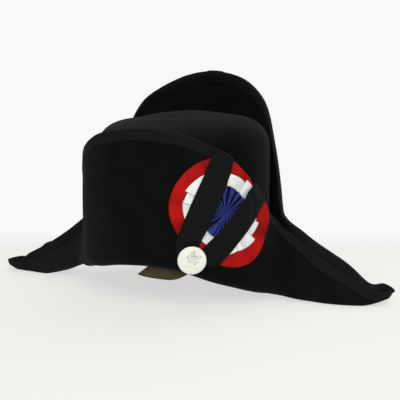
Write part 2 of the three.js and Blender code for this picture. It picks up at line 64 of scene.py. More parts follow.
def smooth(value: Any, low: float, high: float) -> Any:
    """Smooth step from 0 at low to 1 at high.

    Args:
        value: Number or array.
        low: Where the step starts.
        high: Where the step ends.

    Returns:
        The step's value, shaped as value is.
    """
    share = np.clip((np.asarray(value, float) - low) / (high - low), 0.0, 1.0)
    return share * share * (3.0 - 2.0 * share)


def within(value: Any, span: Span) -> Any:
    """Smooth step up over the first pair of a span and down again over the second."""
    return smooth(value, *span[0]) * (1 - smooth(value, *span[1]))


def mix(first: Any, second: Any, share: Any) -> Any:
    """Value a share of the way from first to second."""
    return first + (second - first) * share


def unit(vectors: np.ndarray) -> np.ndarray:
    """Vectors of length one along the last axis."""
    length = np.linalg.norm(vectors, axis=-1, keepdims=True)
    return vectors / np.maximum(length, 1e-12)


def run_lengths(line: np.ndarray) -> np.ndarray:
    """Length along a line of points up to each of them."""
    steps = np.linalg.norm(np.diff(line, axis=0), axis=1)
    return np.concatenate([[0.0], np.cumsum(steps)])


def along(line: np.ndarray, lengths: np.ndarray) -> np.ndarray:
    """Points of a line at given lengths from its start.

    Args:
        line: Points of the line, one a row.
        lengths: Lengths from the start.

    Returns:
        One point for each length.
    """
    at = run_lengths(line)
    return np.stack([np.interp(lengths, at, line[:, k]) for k in range(line.shape[1])], axis=1)


def between(p0: Any, p1: Any, p2: Any, p3: Any, w: Any) -> Any:
    """Value on a smooth curve through four evenly spaced values.

    Args:
        p0: Value before the stretch.
        p1: Value at its start.
        p2: Value at its end.
        p3: Value after it.
        w: Share of the way along the stretch.

    Returns:
        The curve's value.
    """
    m1, m2 = (p2 - p0) / 2, (p3 - p1) / 2
    return ((2 * w**3 - 3 * w**2 + 1) * p1 + (w**3 - 2 * w**2 + w) * m1
            + (3 * w**2 - 2 * w**3) * p2 + (w**3 - w**2) * m2)


def curve_through(points: Line, steps: int) -> np.ndarray:
    """Smooth plane curve through a few points.

    Args:
        points: Points that the curve passes.
        steps: Steps of the curve between two points.

    Returns:
        Points of the curve, one a row.
    """
    known = np.array(points, float)
    padded = np.vstack([2 * known[0] - known[1], known, 2 * known[-1] - known[-2]])
    made = []
    for k in range(len(known) - 1):
        made += [between(*padded[k:k + 4], w) for w in np.arange(steps) / steps]
    return np.array([*made, known[-1]])


# Node trees

class Signal:
    """A socket that takes part in Python expressions; each operator adds a Math node."""

    def __init__(self, graph: "Graph", socket: bpy.types.NodeSocket) -> None:
        """Wraps one output socket of a graph."""
        self.graph = graph
        self.socket = socket

    def _math(self, operation: str, first: Any, second: Any = 0.0) -> "Signal":
        """Adds a Math node on two values."""
        return self.graph.node("ShaderNodeMath", {"operation": operation}, {0: first, 1: second})

    def __add__(self, other: Any) -> "Signal":
        """Sum."""
        return self._math("ADD", self, other)

    __radd__ = __add__

    def __sub__(self, other: Any) -> "Signal":
        """Difference."""
        return self._math("SUBTRACT", self, other)

    def __rsub__(self, other: Any) -> "Signal":
        """Difference with this value second."""
        return self._math("SUBTRACT", other, self)

    def __mul__(self, other: Any) -> "Signal":
        """Product."""
        return self._math("MULTIPLY", self, other)

    __rmul__ = __mul__

    def __pow__(self, other: Any) -> "Signal":
        """Power."""
        return self._math("POWER", self, other)

    def sine(self) -> "Signal":
        """Sine of the value in radians."""
        return self._math("SINE", self)

    def size(self) -> "Signal":
        """Value without its sign."""
        return self._math("ABSOLUTE", self)

    def ramp(self, low: float, high: float) -> "Signal":
        """Smooth step of the value from low to high."""
        return self.graph.node("ShaderNodeMapRange", {"interpolation_type": "SMOOTHSTEP"},
                               {"Value": self, "From Min": low, "From Max": high})


class Graph:
    """A node tree that is built by one method."""

    def __init__(self, tree: bpy.types.NodeTree) -> None:
        """Starts from an empty tree."""
        self.tree = tree
        tree.nodes.clear()

    def node(self, kind: str, settings: Optional[dict[str, Any]] = None,
             inputs: Optional[dict[Union[str, int], Any]] = None,
             out: Union[str, int] = 0) -> Signal:
        """Adds a node.

        Args:
            kind: Type name of the node.
            settings: Attributes that are set before the sockets.
            inputs: Values or signals by socket name or index; a list links each of its signals.
            out: Name or index of the output that is returned.

        Returns:
            The chosen output, or the node's first input where it has no output.
        """
        made = self.tree.nodes.new(kind)
        for key, value in (settings or {}).items():
            setattr(made, key, value)
        for key, value in (inputs or {}).items():
            socket = made.inputs[key]
            signals = value if isinstance(value, list) else [value]
            if not isinstance(signals[0], Signal):
                socket.default_value = value
                continue
            for signal in signals:
                self.tree.links.new(signal.socket, socket)
        return Signal(self, made.outputs[out] if len(made.outputs) else made.inputs[0])


class Recipe(Graph):
    """Geometry Nodes group that makes a piece from a mesh and named sizes."""

    def __init__(self, name: str, inputs: dict[str, str]) -> None:
        """Makes a group with its inputs.

        Args:
            name: Name of the group.
            inputs: Kind of socket by the input's name; the first is the mesh to start from.
        """
        self.group = bpy.data.node_groups.new(name, "GeometryNodeTree")
        super().__init__(self.group)
        sockets = self.group.interface
        sockets.new_socket("Geometry", in_out="OUTPUT", socket_type="NodeSocketGeometry")
        for key, kind in inputs.items():
            sockets.new_socket(key, in_out="INPUT", socket_type="NodeSocket" + kind)
        outputs = self.node("NodeGroupInput").socket.node.outputs
        self.given = {key: Signal(self, outputs[key]) for key in inputs}

    def drawn(self, low: Any, high: Any, seed: Any) -> Signal:
        """Random number between two values for each point."""
        return self.node("FunctionNodeRandomValue", {"data_type": "FLOAT"},
                         {2: low, 3: high, "Seed": seed}, out=1)

    def turn(self, **angles: Signal) -> Signal:
        """Rotation by angles in radians about the named axes."""
        return self.node("FunctionNodeEulerToRotation",
                         inputs={0: self.node("ShaderNodeCombineXYZ", inputs=angles)})

    def end(self, geometry: Signal, material: Signal) -> None:
        """Ends the group in plain geometry with one material.

        Args:
            geometry: What the group made.
            material: The input that holds the material.
        """
        real = self.node("GeometryNodeRealizeInstances", inputs={"Geometry": geometry})
        done = self.node("GeometryNodeSetMaterial", inputs={"Geometry": real, "Material": material})
        self.node("NodeGroupOutput", inputs={"Geometry": done})

    def made_from(self, name: str, mesh: bpy.types.Mesh, values: dict[str, Any]) -> bpy.types.Mesh:
        """Runs the group on a mesh.

        Args:
            name: Name of the new mesh.
            mesh: The mesh to start from, which is used up.
            values: Values by the input's name.

        Returns:
            A plain mesh.
        """
        holder = placed(name, mesh)
        step = holder.modifiers.new("recipe", "NODES")
        step.node_group = self.group
        for socket in self.group.interface.items_tree:
            if socket.in_out == "INPUT" and socket.name in values:
                step[socket.identifier] = values[socket.name]
        return baked(holder, name)


class Surface(Graph):
    """Shader tree of one material."""

    def __init__(self, name: str) -> None:
        """Makes an empty material.

        Args:
            name: Name of the material.
        """
        self.material = bpy.data.materials.new(name)
        self.material.use_nodes = True
        super().__init__(self.material.node_tree)

    def place(self) -> Signal:
        """Object coordinates in metres."""
        return self.node("ShaderNodeTexCoord", out="Object")

    def cloth(self) -> Signal:
        """The piece's UV map in metres: along the cloth and across it."""
        return self.node("ShaderNodeUVMap", {"uv_map": CLOTH_MAP})

    def fold(self) -> Signal:
        """Painted shade stored on the mesh for folds and hollows, from 0 to 1."""
        return self.node("ShaderNodeAttribute", {"attribute_name": FOLD_SHADE}, out="Fac")

    def noise(self, place: Signal, scale: float, detail: float = 2.0, rough: float = 0.5) -> Signal:
        """Noise from 0 to 1, with a scale in features per metre."""
        return self.node("ShaderNodeTexNoise", {"noise_dimensions": "3D"},
                         {"Vector": place, "Scale": scale, "Detail": detail, "Roughness": rough})

    def part(self, place: Signal, axis: str) -> Signal:
        """One coordinate of a place."""
        return self.node("ShaderNodeSeparateXYZ", inputs={"Vector": place}, out=axis)

    def blend(self, share: Any, first: Any, second: Any) -> Signal:
        """Colour between two others.

        Args:
            share: Share of the way from the first to the second.
            first: A colour or a signal of colours.
            second: The other.

        Returns:
            The mixed colour.
        """
        def colour(value: Any) -> Any:
            """Colour with its alpha where it is a plain one."""
            return value if isinstance(value, Signal) else (*value, 1.0)
        return self.node("ShaderNodeMix", {"data_type": "RGBA"},
                         {0: share, 6: colour(first), 7: colour(second)}, out=2)

    def bump(self, height: Signal, strength: float, distance: float) -> Signal:
        """Normal from a height of 0 to 1.

        Args:
            height: The height.
            strength: Share of the full effect.
            distance: Real height of 1, in metres.

        Returns:
            The bent normal.
        """
        return self.node("ShaderNodeBump",
                         inputs={"Strength": strength, "Distance": distance, "Height": height})

    def finish(self, **sockets: Any) -> bpy.types.Material:
        """Ends the tree in a Principled shader.

        Args:
            sockets: Values or signals by socket name, with _ for each space.

        Returns:
            The finished material.
        """
        inputs = {key.replace("_", " "): value for key, value in sockets.items()}
        shader = self.node("ShaderNodeBsdfPrincipled", inputs=inputs)
        self.node("ShaderNodeOutputMaterial", inputs={"Surface": shader})
        return self.material


# Finishes

@dataclass(frozen=True)
class FeltFinish:
    """Matte wool felt with a short nap."""

    dark: Colour = (0.0012, 0.0017, 0.0015)
    # Lighter felt tone, used for random cloud and nap and for painted light on the horns
    toned: Colour = (0.0030, 0.0041, 0.0035)
    # Painted light on the left horn
    left_painted_light: Colour = (0.0064, 0.0078, 0.0070)
    # Painted highlight on the crown's shoulder and painted light inside the right horn
    painted_light: Colour = (0.0098, 0.0116, 0.0106)
    nap_per_m: float = 1500.0
    fibres_per_m: float = 3300.0
    fibre_stretch: Place = (1.0, 1.0, 0.25)
    cloud_per_m: float = 45.0
    nap_height: float = 0.0005
    crown_half: Point = (0.093, 0.096)
    crown_rim: Point = (1.05, 1.2)
    # Where painted shade darkens the crown's right side
    crown_right: Point = (0.045, 0.085)
    # Where the painted highlight lies on the crown's shoulder, weaker on its right
    shoulder: Span = ((0.160, 0.184), (0.181, 0.192))
    shoulder_right: Point = (-0.01, 0.075)
    # Where painted light lightens the horns
    horns: Point = (0.10, 0.17)
    # Where painted light lies on the left horn
    left_horn: Point = (0.085, 0.13)
    # Where painted light lies inside the right horn's back flap
    right_horn: Point = (0.09, 0.13)
    back_half: Point = (0.004, 0.012)

    def material(self) -> bpy.types.Material:
        """Cloudy black with a fine fibrous bump; painted light on the horns, most on the left, on the
        crown's shoulder and inside the right horn, and painted shade on the crown's right side.

        Returns:
            The finished material.
        """
        s = Surface("wool_felt")
        place = s.place()
        nap = s.noise(place, self.nap_per_m, 3.0, 0.65)
        drawn = s.node("ShaderNodeMapping", inputs={"Vector": place, "Scale": self.fibre_stretch})
        fibres = s.noise(drawn, self.fibres_per_m, 2.0)
        cloud = s.noise(place, self.cloud_per_m, 4.0)
        x, y, z = (s.part(place, axis) for axis in "XYZ")
        wide = x * (1 / self.crown_half[0])
        deep = (y - CROWN_AXIS_Y * MM) * (1 / self.crown_half[1])
        on_crown = 1.0 - (wide * wide + deep * deep).ramp(*self.crown_rim)
        rise, fall = self.shoulder
        # Painted highlight on the crown's shoulder, weaker on its right
        shoulder = on_crown * z.ramp(*rise) * (1.0 - z.ramp(*fall))
        shoulder = shoulder * (1.0 - x.ramp(*self.shoulder_right) * 0.85)
        # Painted light on both horns
        horn = x.size().ramp(*self.horns)
        # Painted light on the left horn
        left = (x * -1.0).ramp(*self.left_horn)
        # Painted light inside the right horn's back flap
        inside = y.ramp(*self.back_half) * x.ramp(*self.right_horn)
        # Painted shade on the crown's right side
        right = on_crown * x.ramp(*self.crown_right)
        # Random cloud and nap, painted light on the horns and painted shade on the crown's right side
        tone = cloud.ramp(0.35, 0.70) * 0.45 + nap * 0.35 + horn * 0.45 - right * 0.6
        height = nap * 0.6 + fibres * 0.4
        plain = s.blend(tone, self.dark, self.toned)
        # Felt with painted light on the left horn
        painted_left = s.blend(left, plain, self.left_painted_light)
        # Painted highlight on the shoulder and painted light inside the right horn
        return s.finish(Base_Color=s.blend(shoulder + inside, painted_left, self.painted_light),
                        Roughness=0.98 - cloud * 0.12,
                        Normal=s.bump(height, 0.55, self.nap_height),
                        Specular_IOR_Level=0.05, Sheen_Weight=0.02, Sheen_Roughness=0.5,
                        Sheen_Tint=(0.87, 1.0, 0.94, 1.0))


@dataclass(frozen=True)
class RibbonFinish:
    """Ribbed ribbon: the ribs run across its length."""

    name: str
    dark: Colour = (0.0016, 0.0020, 0.0019)
    light: Colour = (0.0060, 0.0072, 0.0067)
    # Painted light inside the right horn
    pale: Colour = (0.0098, 0.0116, 0.0107)
    # Painted shade inside the back flap
    deep: Colour = (0.0002, 0.0003, 0.0003)
    rib: float = 0.0010
    rib_height: float = 0.0003
    thread_per_m: float = 2600.0
    patch_per_m: float = 60.0
    width: float = 0.025
    selvedge: Point = (0.90, 0.99)
    # Where painted shade darkens the cut edges
    cut_edge: Point = (0.0002, 0.0010)
    back_half: Point = (0.004, 0.012)
    # Where painted light lies inside the right horn
    right_side: Point = (0.025, 0.085)
    # Where painted shade lies inside the back flap
    back_flap: Point = (0.05, 0.075)
    left_of: Point = (-0.01, 0.06)
    inner_half: Point = (0.013, 0.023)

    def material(self) -> bpy.types.Material:
        """Fine ribs, a bright selvedge at both edges and a faint sheen.

        Inside the right horn the ribbon has painted light, inside the back flap painted shade makes it deep
        black, and its cut edges have painted shade.

        Returns:
            The finished material.
        """
        s = Surface(self.name)
        cloth = s.cloth()
        length, across = s.part(cloth, "X"), s.part(cloth, "Y")
        ribs = (length * (2 * math.pi / self.rib)).sine() * 0.5 + 0.5
        thread = s.noise(cloth, self.thread_per_m, 1.0)
        edge = (across * (2.0 / self.width) - 1.0).size().ramp(*self.selvedge)
        place = s.place()
        patch = s.noise(place, self.patch_per_m, 2.0)
        x, y = s.part(place, "X"), s.part(place, "Y")
        # Painted light inside the right horn
        inside = y.ramp(*self.back_half) * x.ramp(*self.right_side)
        # Painted shade inside the back flap
        painted_shade_back = y.ramp(*self.back_flap) * (1.0 - x.ramp(*self.left_of)) * across.ramp(*self.inner_half)
        # Painted shade on the cut edges
        cut = 1.0 - across.ramp(*self.cut_edge)
        # Ribs, threads and patches, a lighter selvedge, and painted shade on the cut edges
        tone = ribs * 0.35 + thread * 0.2 + patch * 0.3 + edge * 0.1 - cut
        # Painted shade takes the ribbon to deep black inside the back flap
        plain = s.blend(painted_shade_back * 0.95, s.blend(tone, self.dark, self.light), self.deep)
        # Painted light inside the right horn lightens the ribbon
        return s.finish(Base_Color=s.blend(inside * (0.6 + ribs * 0.25), plain, self.pale),
                        Roughness=0.74 - ribs * 0.10 + patch * 0.08,
                        Normal=s.bump(ribs * 0.8 + thread * 0.2, 0.5, self.rib_height),
                        Specular_IOR_Level=0.08, Sheen_Weight=0.012, Sheen_Roughness=0.45)


@dataclass(frozen=True)
class ClothFinish:
    """Plain woven ribbon of the cockade."""

    name: str
    colour: Colour
    shade: Colour
    thread: float = 0.00045
    thread_height: float = 0.00018
    slub_per_m: float = 900.0
    drift_per_m: float = 120.0
    rough: float = 0.82
    # Strength of the painted shade in folds
    deep: float = 0.75

    def material(self) -> bpy.types.Material:
        """Crossed threads, tone that drifts along the pleats, and painted shade in the folds.

        Returns:
            The finished material.
        """
        s = Surface(self.name)
        cloth = s.cloth()
        turn = 2 * math.pi / self.thread
        warp = (s.part(cloth, "X") * turn).sine()
        weft = (s.part(cloth, "Y") * turn).sine()
        weave = warp * weft * 0.5 + 0.5
        slub = s.noise(cloth, self.slub_per_m, 2.0)
        drift = s.noise(s.place(), self.drift_per_m, 2.0)
        # Painted shade in the folds, with random tone from weave, drift and slubs
        shade = s.fold() * self.deep + (1.0 - weave) * 0.10 + drift * 0.16 + slub * 0.06
        return s.finish(Base_Color=s.blend(shade, self.colour, self.shade),
                        Roughness=self.rough - weave * 0.08,
                        Normal=s.bump(weave * 0.7 + slub * 0.3, 0.35, self.thread_height),
                        Specular_IOR_Level=0.05, Sheen_Weight=0.008, Sheen_Roughness=0.4)


@dataclass(frozen=True)
class ButtonFinish:
    """Cream moulded button."""

    light: Colour = (0.65, 0.655, 0.575)
    grey: Colour = (0.20, 0.20, 0.165)
    speck_per_m: float = 900.0
    cloud_per_m: float = 160.0
    scuff_height: float = 0.0001

    def material(self) -> bpy.types.Material:
        """Ivory colour with painted shade on the back and the relief strokes, greyer towards the dome's
        edge, and fine scuffs.

        Returns:
            The finished material.
        """
        s = Surface("button_cream")
        place = s.place()
        speck = s.noise(place, self.speck_per_m, 3.0)
        cloud = s.noise(place, self.cloud_per_m, 2.0)
        # Painted shade from the fold attribute, with random clouds and specks
        shade = s.fold() * 0.7 + cloud.ramp(0.45, 0.75) * 0.12 + speck.ramp(0.55, 0.8) * 0.10
        return s.finish(Base_Color=s.blend(shade, self.light, self.grey),
                        Roughness=0.42 + speck * 0.16,
                        Normal=s.bump(speck, 0.12, self.scuff_height), Specular_IOR_Level=0.5)


@dataclass(frozen=True)
class BandFinish:
    """Olive brown twill of the sweatband."""

    light: Colour = (0.060, 0.051, 0.015)
    dark: Colour = (0.026, 0.022, 0.007)
    twill: float = 0.0011
    twill_height: float = 0.0003
    thread_per_m: float = 1800.0
    patch_per_m: float = 70.0

    def material(self) -> bpy.types.Material:
        """Slanted twill lines with worn patches.

        Returns:
            The finished material.
        """
        s = Surface("band_twill")
        cloth = s.cloth()
        slant = (s.part(cloth, "X") + s.part(cloth, "Y")) * (2 * math.pi / self.twill)
        lines = slant.sine() * 0.5 + 0.5
        thread = s.noise(cloth, self.thread_per_m, 2.0)
        patch = s.noise(s.place(), self.patch_per_m, 3.0)
        tone = lines * 0.35 + thread * 0.25 + patch * 0.5
        return s.finish(Base_Color=s.blend(tone, self.dark, self.light),
                        Roughness=0.85 - patch * 0.15,
                        Normal=s.bump(lines * 0.7 + thread * 0.3, 0.4, self.twill_height),
                        Specular_IOR_Level=0.3)


@dataclass(frozen=True)
class ThreadFinish:
    """Sewing thread."""

    name: str
    colour: Colour
    ply_per_m: float = 3000.0
    ply_height: float = 0.0001

    def material(self) -> bpy.types.Material:
        """Thread whose colour and bump vary in short patches.

        Returns:
            The finished material.
        """
        s = Surface(self.name)
        ply = s.noise(s.place(), self.ply_per_m, 1.0)
        dim = tuple(0.5 * c for c in self.colour)
        return s.finish(Base_Color=s.blend(ply, dim, self.colour), Roughness=0.7 - ply * 0.1,
                        Normal=s.bump(ply, 0.3, self.ply_height), Specular_IOR_Level=0.1)


@dataclass(frozen=True)
class FloorFinish:
    """Pale light table whose far edge, behind the hat, fades into the backdrop."""

    paper: Colour = (0.235, 0.229, 0.218)
    glow: Colour = (0.62, 0.62, 0.61)
    away: Point = (-0.342, 0.940)
    far_edge: Point = (0.19, 0.32)

    def material(self) -> bpy.types.Material:
        """Matte sheet that glows evenly; its cover ends softly behind the hat.

        Returns:
            The finished material.
        """
        s = Surface("studio_floor")
        place = s.place()
        far = s.part(place, "X") * self.away[0] + s.part(place, "Y") * self.away[1]
        sheet = s.node("ShaderNodeBsdfPrincipled", inputs={
            "Base Color": (*self.paper, 1.0), "Roughness": 0.75, "Specular IOR Level": 0.15,
            "Emission Color": (*self.glow, 1.0), "Emission Strength": 1.0})
        clear = s.node("ShaderNodeBsdfTransparent")
        cover = s.node("ShaderNodeMixShader", inputs={0: far.ramp(*self.far_edge), 1: sheet, 2: clear})
        s.node("ShaderNodeOutputMaterial", inputs={"Surface": cover})
        return s.material


# Meshes

@dataclass
class ClothGrid:
    """A grid of points in millimetres that becomes a wall of cloth."""

    points: np.ndarray
    across: Optional[np.ndarray] = None
    length: Optional[np.ndarray] = None
    # Painted shade for each point
    fold: Optional[np.ndarray] = None

    def measured(self, axis: int) -> np.ndarray:
        """Lengths for the UV map.

        Args:
            axis: 0 for lengths along the cloth, 1 for those across it.

        Returns:
            The length up to each point of the grid, in metres.
        """
        given = self.across if axis else self.length
        if given is None:
            steps = np.linalg.norm(np.diff(self.points, axis=axis), axis=2).mean(axis=1 - axis)
            run = np.concatenate([[0.0], np.cumsum(steps)])
            given = np.broadcast_to(np.expand_dims(run, 1 - axis), self.points.shape[:2])
        return given * MM

    def add_to(self, made: bmesh.types.BMesh) -> None:
        """Adds the grid to a mesh under construction.

        Args:
            made: The mesh that gets the grid's points and faces.
        """
        rows, columns = self.points.shape[:2]
        length, across = (self.measured(axis) for axis in (0, 1))
        layer = made.loops.layers.uv.get(CLOTH_MAP) or made.loops.layers.uv.new(CLOTH_MAP)
        shade = made.verts.layers.float.get(FOLD_SHADE) or made.verts.layers.float.new(FOLD_SHADE)
        verts = [[made.verts.new(row_metres(p)) for p in line] for line in self.points]
        if self.fold is not None:
            for line, values in zip(verts, self.fold):
                for vert, value in zip(line, values):
                    vert[shade] = float(value)
        for i in range(rows - 1):
            for j in range(columns - 1):
                corners = [(i, j), (i + 1, j), (i + 1, j + 1), (i, j + 1)]
                face = made.faces.new([verts[a][b] for a, b in corners])
                for loop, (a, b) in zip(face.loops, corners):
                    loop[layer].uv = (length[a, b], across[a, b])


def row_metres(point: np.ndarray) -> Vector:
    """A point of the hat in metres in the frame's own axes."""
    return Vector((point[0] * MM, (point[1] + CROWN_AXIS_Y) * MM, point[2] * MM))


def placed(name: str, data: bpy.types.ID) -> bpy.types.Object:
    """New object of the scene that holds a mesh, a light or a camera.

    Args:
        name: Name of the object.
        data: What it holds.

    Returns:
        The object, at the origin.
    """
    made = bpy.data.objects.new(name, data)
    bpy.context.scene.collection.objects.link(made)
    return made


def cloth_mesh(name: str, grids: list[ClothGrid], wall: float, weld: float = 0.01) -> bpy.types.Mesh:
    """Closed wall of cloth from grids that share their touching points.

    Args:
        name: Name of the mesh.
        grids: The grids of its middle surface.
        wall: Thickness in millimetres.
        weld: Distance in millimetres within which points are merged.

    Returns:
        The mesh in metres.
    """
    made = bmesh.new()
    for grid in grids:
        grid.add_to(made)
    bmesh.ops.remove_doubles(made, verts=made.verts, dist=weld * MM)
    bmesh.ops.recalc_face_normals(made, faces=made.faces)
    sheet = bpy.data.meshes.new(name + "_sheet")
    made.to_mesh(sheet)
    made.free()
    holder = placed(name + "_sheet", sheet)
    wall_step = holder.modifiers.new("wall", "SOLIDIFY")
    wall_step.thickness = wall * MM
    wall_step.offset = 0.0
    wall_step.use_quality_normals = True
    return baked(holder, name)


def baked(holder: bpy.types.Object, name: str) -> bpy.types.Mesh:
    """Mesh of an object with its modifiers applied; the object is removed.

    Args:
        holder: Object with modifiers.
        name: Name of the new mesh.

    Returns:
        A plain mesh with smooth faces.
    """
    graph = bpy.context.evaluated_depsgraph_get()
    mesh = bpy.data.meshes.new_from_object(holder.evaluated_get(graph))
    mesh.name = name
    mesh.shade_smooth()
    source = holder.data
    bpy.data.objects.remove(holder)
    if source.users == 0:
        bpy.data.meshes.remove(source)
    return mesh


def dress(name: str, mesh: bpy.types.Mesh, material: bpy.types.Material,
          node: Optional[str] = None) -> bpy.types.Object:
    """Adds a finished piece to the hat.

    Args:
        name: Name of the piece.
        mesh: Its mesh in metres, in place.
        material: Its finish.
        node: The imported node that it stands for, if there is one.

    Returns:
        The new object.
    """
    mesh.materials.clear()
    mesh.materials.append(material)
    piece = placed(name, mesh)
    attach(piece, BODY)
    if node:
        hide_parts(node)
    return piece


# Felt

class Side(Enum):
    """Half of the brim, with its direction along Y."""

    FRONT = -1
    BACK = 1


# Ribs of the brim's right half, from the horn's tip to the middle, in millimetres and degrees
# Each has its inner end, how far along it turns, how far it is lowered, the flap's foot and both edges
BRIM_COLUMNS = ("in_x", "in_z", "in_deg", "turn", "lift",
                "fx", "fy", "fz", "ax", "ay", "az", "bx", "by", "bz")
BRIM_ROWS = {
    "tip": (219, 6, 0, 0.70, 0, 226, 0, 8.8, 229.5, 0, 15.2, 229.5, 0, 15.2),
    "lip": (212, 3, 0, 0.75, 0, 216, 9.5, 4.2, 218, 10.5, 12.5, 218, 10.5, 17.8),
    "hook": (200, 0, 0, 0.78, 0, 202, 12.8, 0, 203, 12.5, 18.5, 203, 12, 16.6),
    "rest": (178, -1, 0, 0.80, 0, 180, 18, -1, 180, 13, 30.5, 180, 13, 35.1),
    "mid": (148, 4, 0, 0.72, 2.2, 153, 20.5, 2.8, 153, 14.5, 46.5, 149, 14.5, 53.6),
    "neck": (124, 12, 0, 0.66, 4.8, 136, 24.5, 7, 131, 11.5, 62.5, 131, 11, 67.3),
    "pinch": (107, 20.5, 0, 0.62, 9, 121, 28, 13.2, 113, 14, 77, 112, 14, 79.8),
    "root": (93, 25, 0, 0.58, 6, 110, 38, 12.6, 104, 27, 92, 101.4, 32, 92),
    "turn": (0, 0, 22, 0.55, 6.55, 98.3, 51, 17.85, 94.2, 53, 124.5, 90.6, 48, 147),
    "cheek": (0, 0, 40, 0.55, 5.1, 84, 73, 25.5, 81.6, 79, 150.5, 76.5, 66, 193.5),
    "temple": (0, 0, 55, 0.55, 3.1, 65, 91, 32, 64.5, 97, 165.5, 58, 81.5, 216.5),
    "brow": (0, 0, 73, 0.55, 0.6, 35.5, 106.5, 41.2, 35.5, 111.5, 178.5, 33, 92, 231),
    "peak": (0, 0, 90, 0.55, 0, 0, 110.5, 43.8, 0, 115, 182.5, 0, 95, 236.6),
}
SIDE_FLIPPED = ("in_x", "fx", "ax", "bx", "lift")
MIRRORED_AT_TIP = ("fy", "ay", "by")


class CrownLevel(NamedTuple):
    """A ring of the crown: inset, height, share of the way up the wall, shares of swell and slump."""

    inset: float
    z: float
    up: float
    swell: float
    slump: float


@dataclass(frozen=True)
class CrownShape:
    """Sizes of the crown in millimetres."""

    half_width: float = 93.0
    half_depth: float = 96.0
    taper: float = 2.5
    side_z: float = 25.0
    side_tilt: float = 6.8
    front_z: float = 58.0
    shoulder_z: float = 159.0
    shoulder_reach: float = 36.0
    shoulder_rise: float = 29.5
    top_z: float = 194.0
    swell: float = 0.8
    swell_from: float = 0.34
    left_swell: float = 2.2
    slump: float = 3.0

    def base_z(self, deg: Any) -> Any:
        """Height of the head opening's rim at an angle in degrees."""
        angle = np.radians(deg)
        return (self.side_z - self.side_tilt * np.cos(angle)
                + (self.front_z - self.side_z) * np.sin(angle) ** 2)

    def base(self, deg: np.ndarray, side: Side) -> np.ndarray:
        """Points of the head opening's rim on one half."""
        angle = np.radians(deg)
        return np.stack([self.half_width * np.cos(angle),
                         side.value * self.half_depth * np.sin(angle), self.base_z(deg)], axis=-1)

    def ring(self, rim: np.ndarray, angle: np.ndarray, level: CrownLevel) -> np.ndarray:
        """Points of one ring.

        Args:
            rim: Points of the head opening's rim.
            angle: Angle of each point round the crown.
            level: Place of the ring on the crown.

        Returns:
            The ring's points.
        """
        right, left = np.maximum(np.cos(angle), 0.0), np.maximum(-np.cos(angle), 0.0)
        scale = 1 - level.inset / self.half_width
        z = mix(rim[:, 2], level.z, level.up) - self.slump * level.slump * left
        swelled = self.swell * level.swell * right
        swelled = swelled - self.left_swell * level.swell * (1 - level.slump) * left
        return np.stack([np.cos(angle) * self.half_width * scale + swelled,
                         np.sin(angle) * self.half_depth * scale, z], axis=-1)

    def levels(self, wall_rows: int, shoulder_rows: int, top_rows: int) -> list[CrownLevel]:
        """Rings from the rim to the top.

        Args:
            wall_rows: Rings on the wall.
            shoulder_rows: Rings on the round shoulder.
            top_rows: Rings on the top, without its middle.

        Returns:
            Levels of the rings.
        """
        rings = []
        for up in np.linspace(0.0, 1.0, wall_rows + 1)[1:]:
            swell = smooth(up, self.swell_from, 1.0)
            rings.append(CrownLevel(self.taper * up, self.shoulder_z, up, swell, 0.0))
        for t in np.linspace(0.0, math.pi / 2, shoulder_rows + 1)[1:]:
            inset = self.taper + self.shoulder_reach * (1 - math.cos(t))
            z = self.shoulder_z + self.shoulder_rise * math.sin(t)
            rings.append(CrownLevel(inset, z, 1.0, 1.0, math.sin(t) ** 2))
        flat, low = self.taper + self.shoulder_reach, self.shoulder_z + self.shoulder_rise
        for w in np.linspace(0.0, 1.0, top_rows + 1)[1:]:
            z = mix(low, self.top_z, 1 - (1 - w) ** 2)
            rings.append(CrownLevel(mix(flat, self.half_width, w), z, 1.0, 1 - w, 1 - w))
        return rings


@dataclass(frozen=True)
class LeftSide:
    """Unevenness of the left side, by distance from the middle in millimetres."""

    droop: Point = (0.8, 7.5)
    horn: Span = ((95, 125), (165, 188))
    tip_droop: float = 4.6
    tip: Point = (192, 206)
    rise: float = 3.0
    corner: Span = ((30, 58), (90, 110))
    spread: float = 6.0
    spread_span: Span = ((42, 74), (84, 98))

    def shift(self, edge: np.ndarray, side: Side) -> np.ndarray:
        """Moves points of the brim's edge.

        Args:
            edge: Points of an even edge.
            side: Half of the brim; the front flap's corner is raised, the back flap is spread.

        Returns:
            Points of the uneven edge.
        """
        out = -edge[:, 0]
        droop = self.droop[0 if side is Side.FRONT else 1]
        aside = 0 * out
        up = -droop * within(out, self.horn) - self.tip_droop * smooth(out, *self.tip)
        if side is Side.FRONT:
            up = up + self.rise * within(out, self.corner)
        else:
            aside = -self.spread * within(out, self.spread_span)
        return edge + np.stack([aside, 0 * out, up], axis=-1)


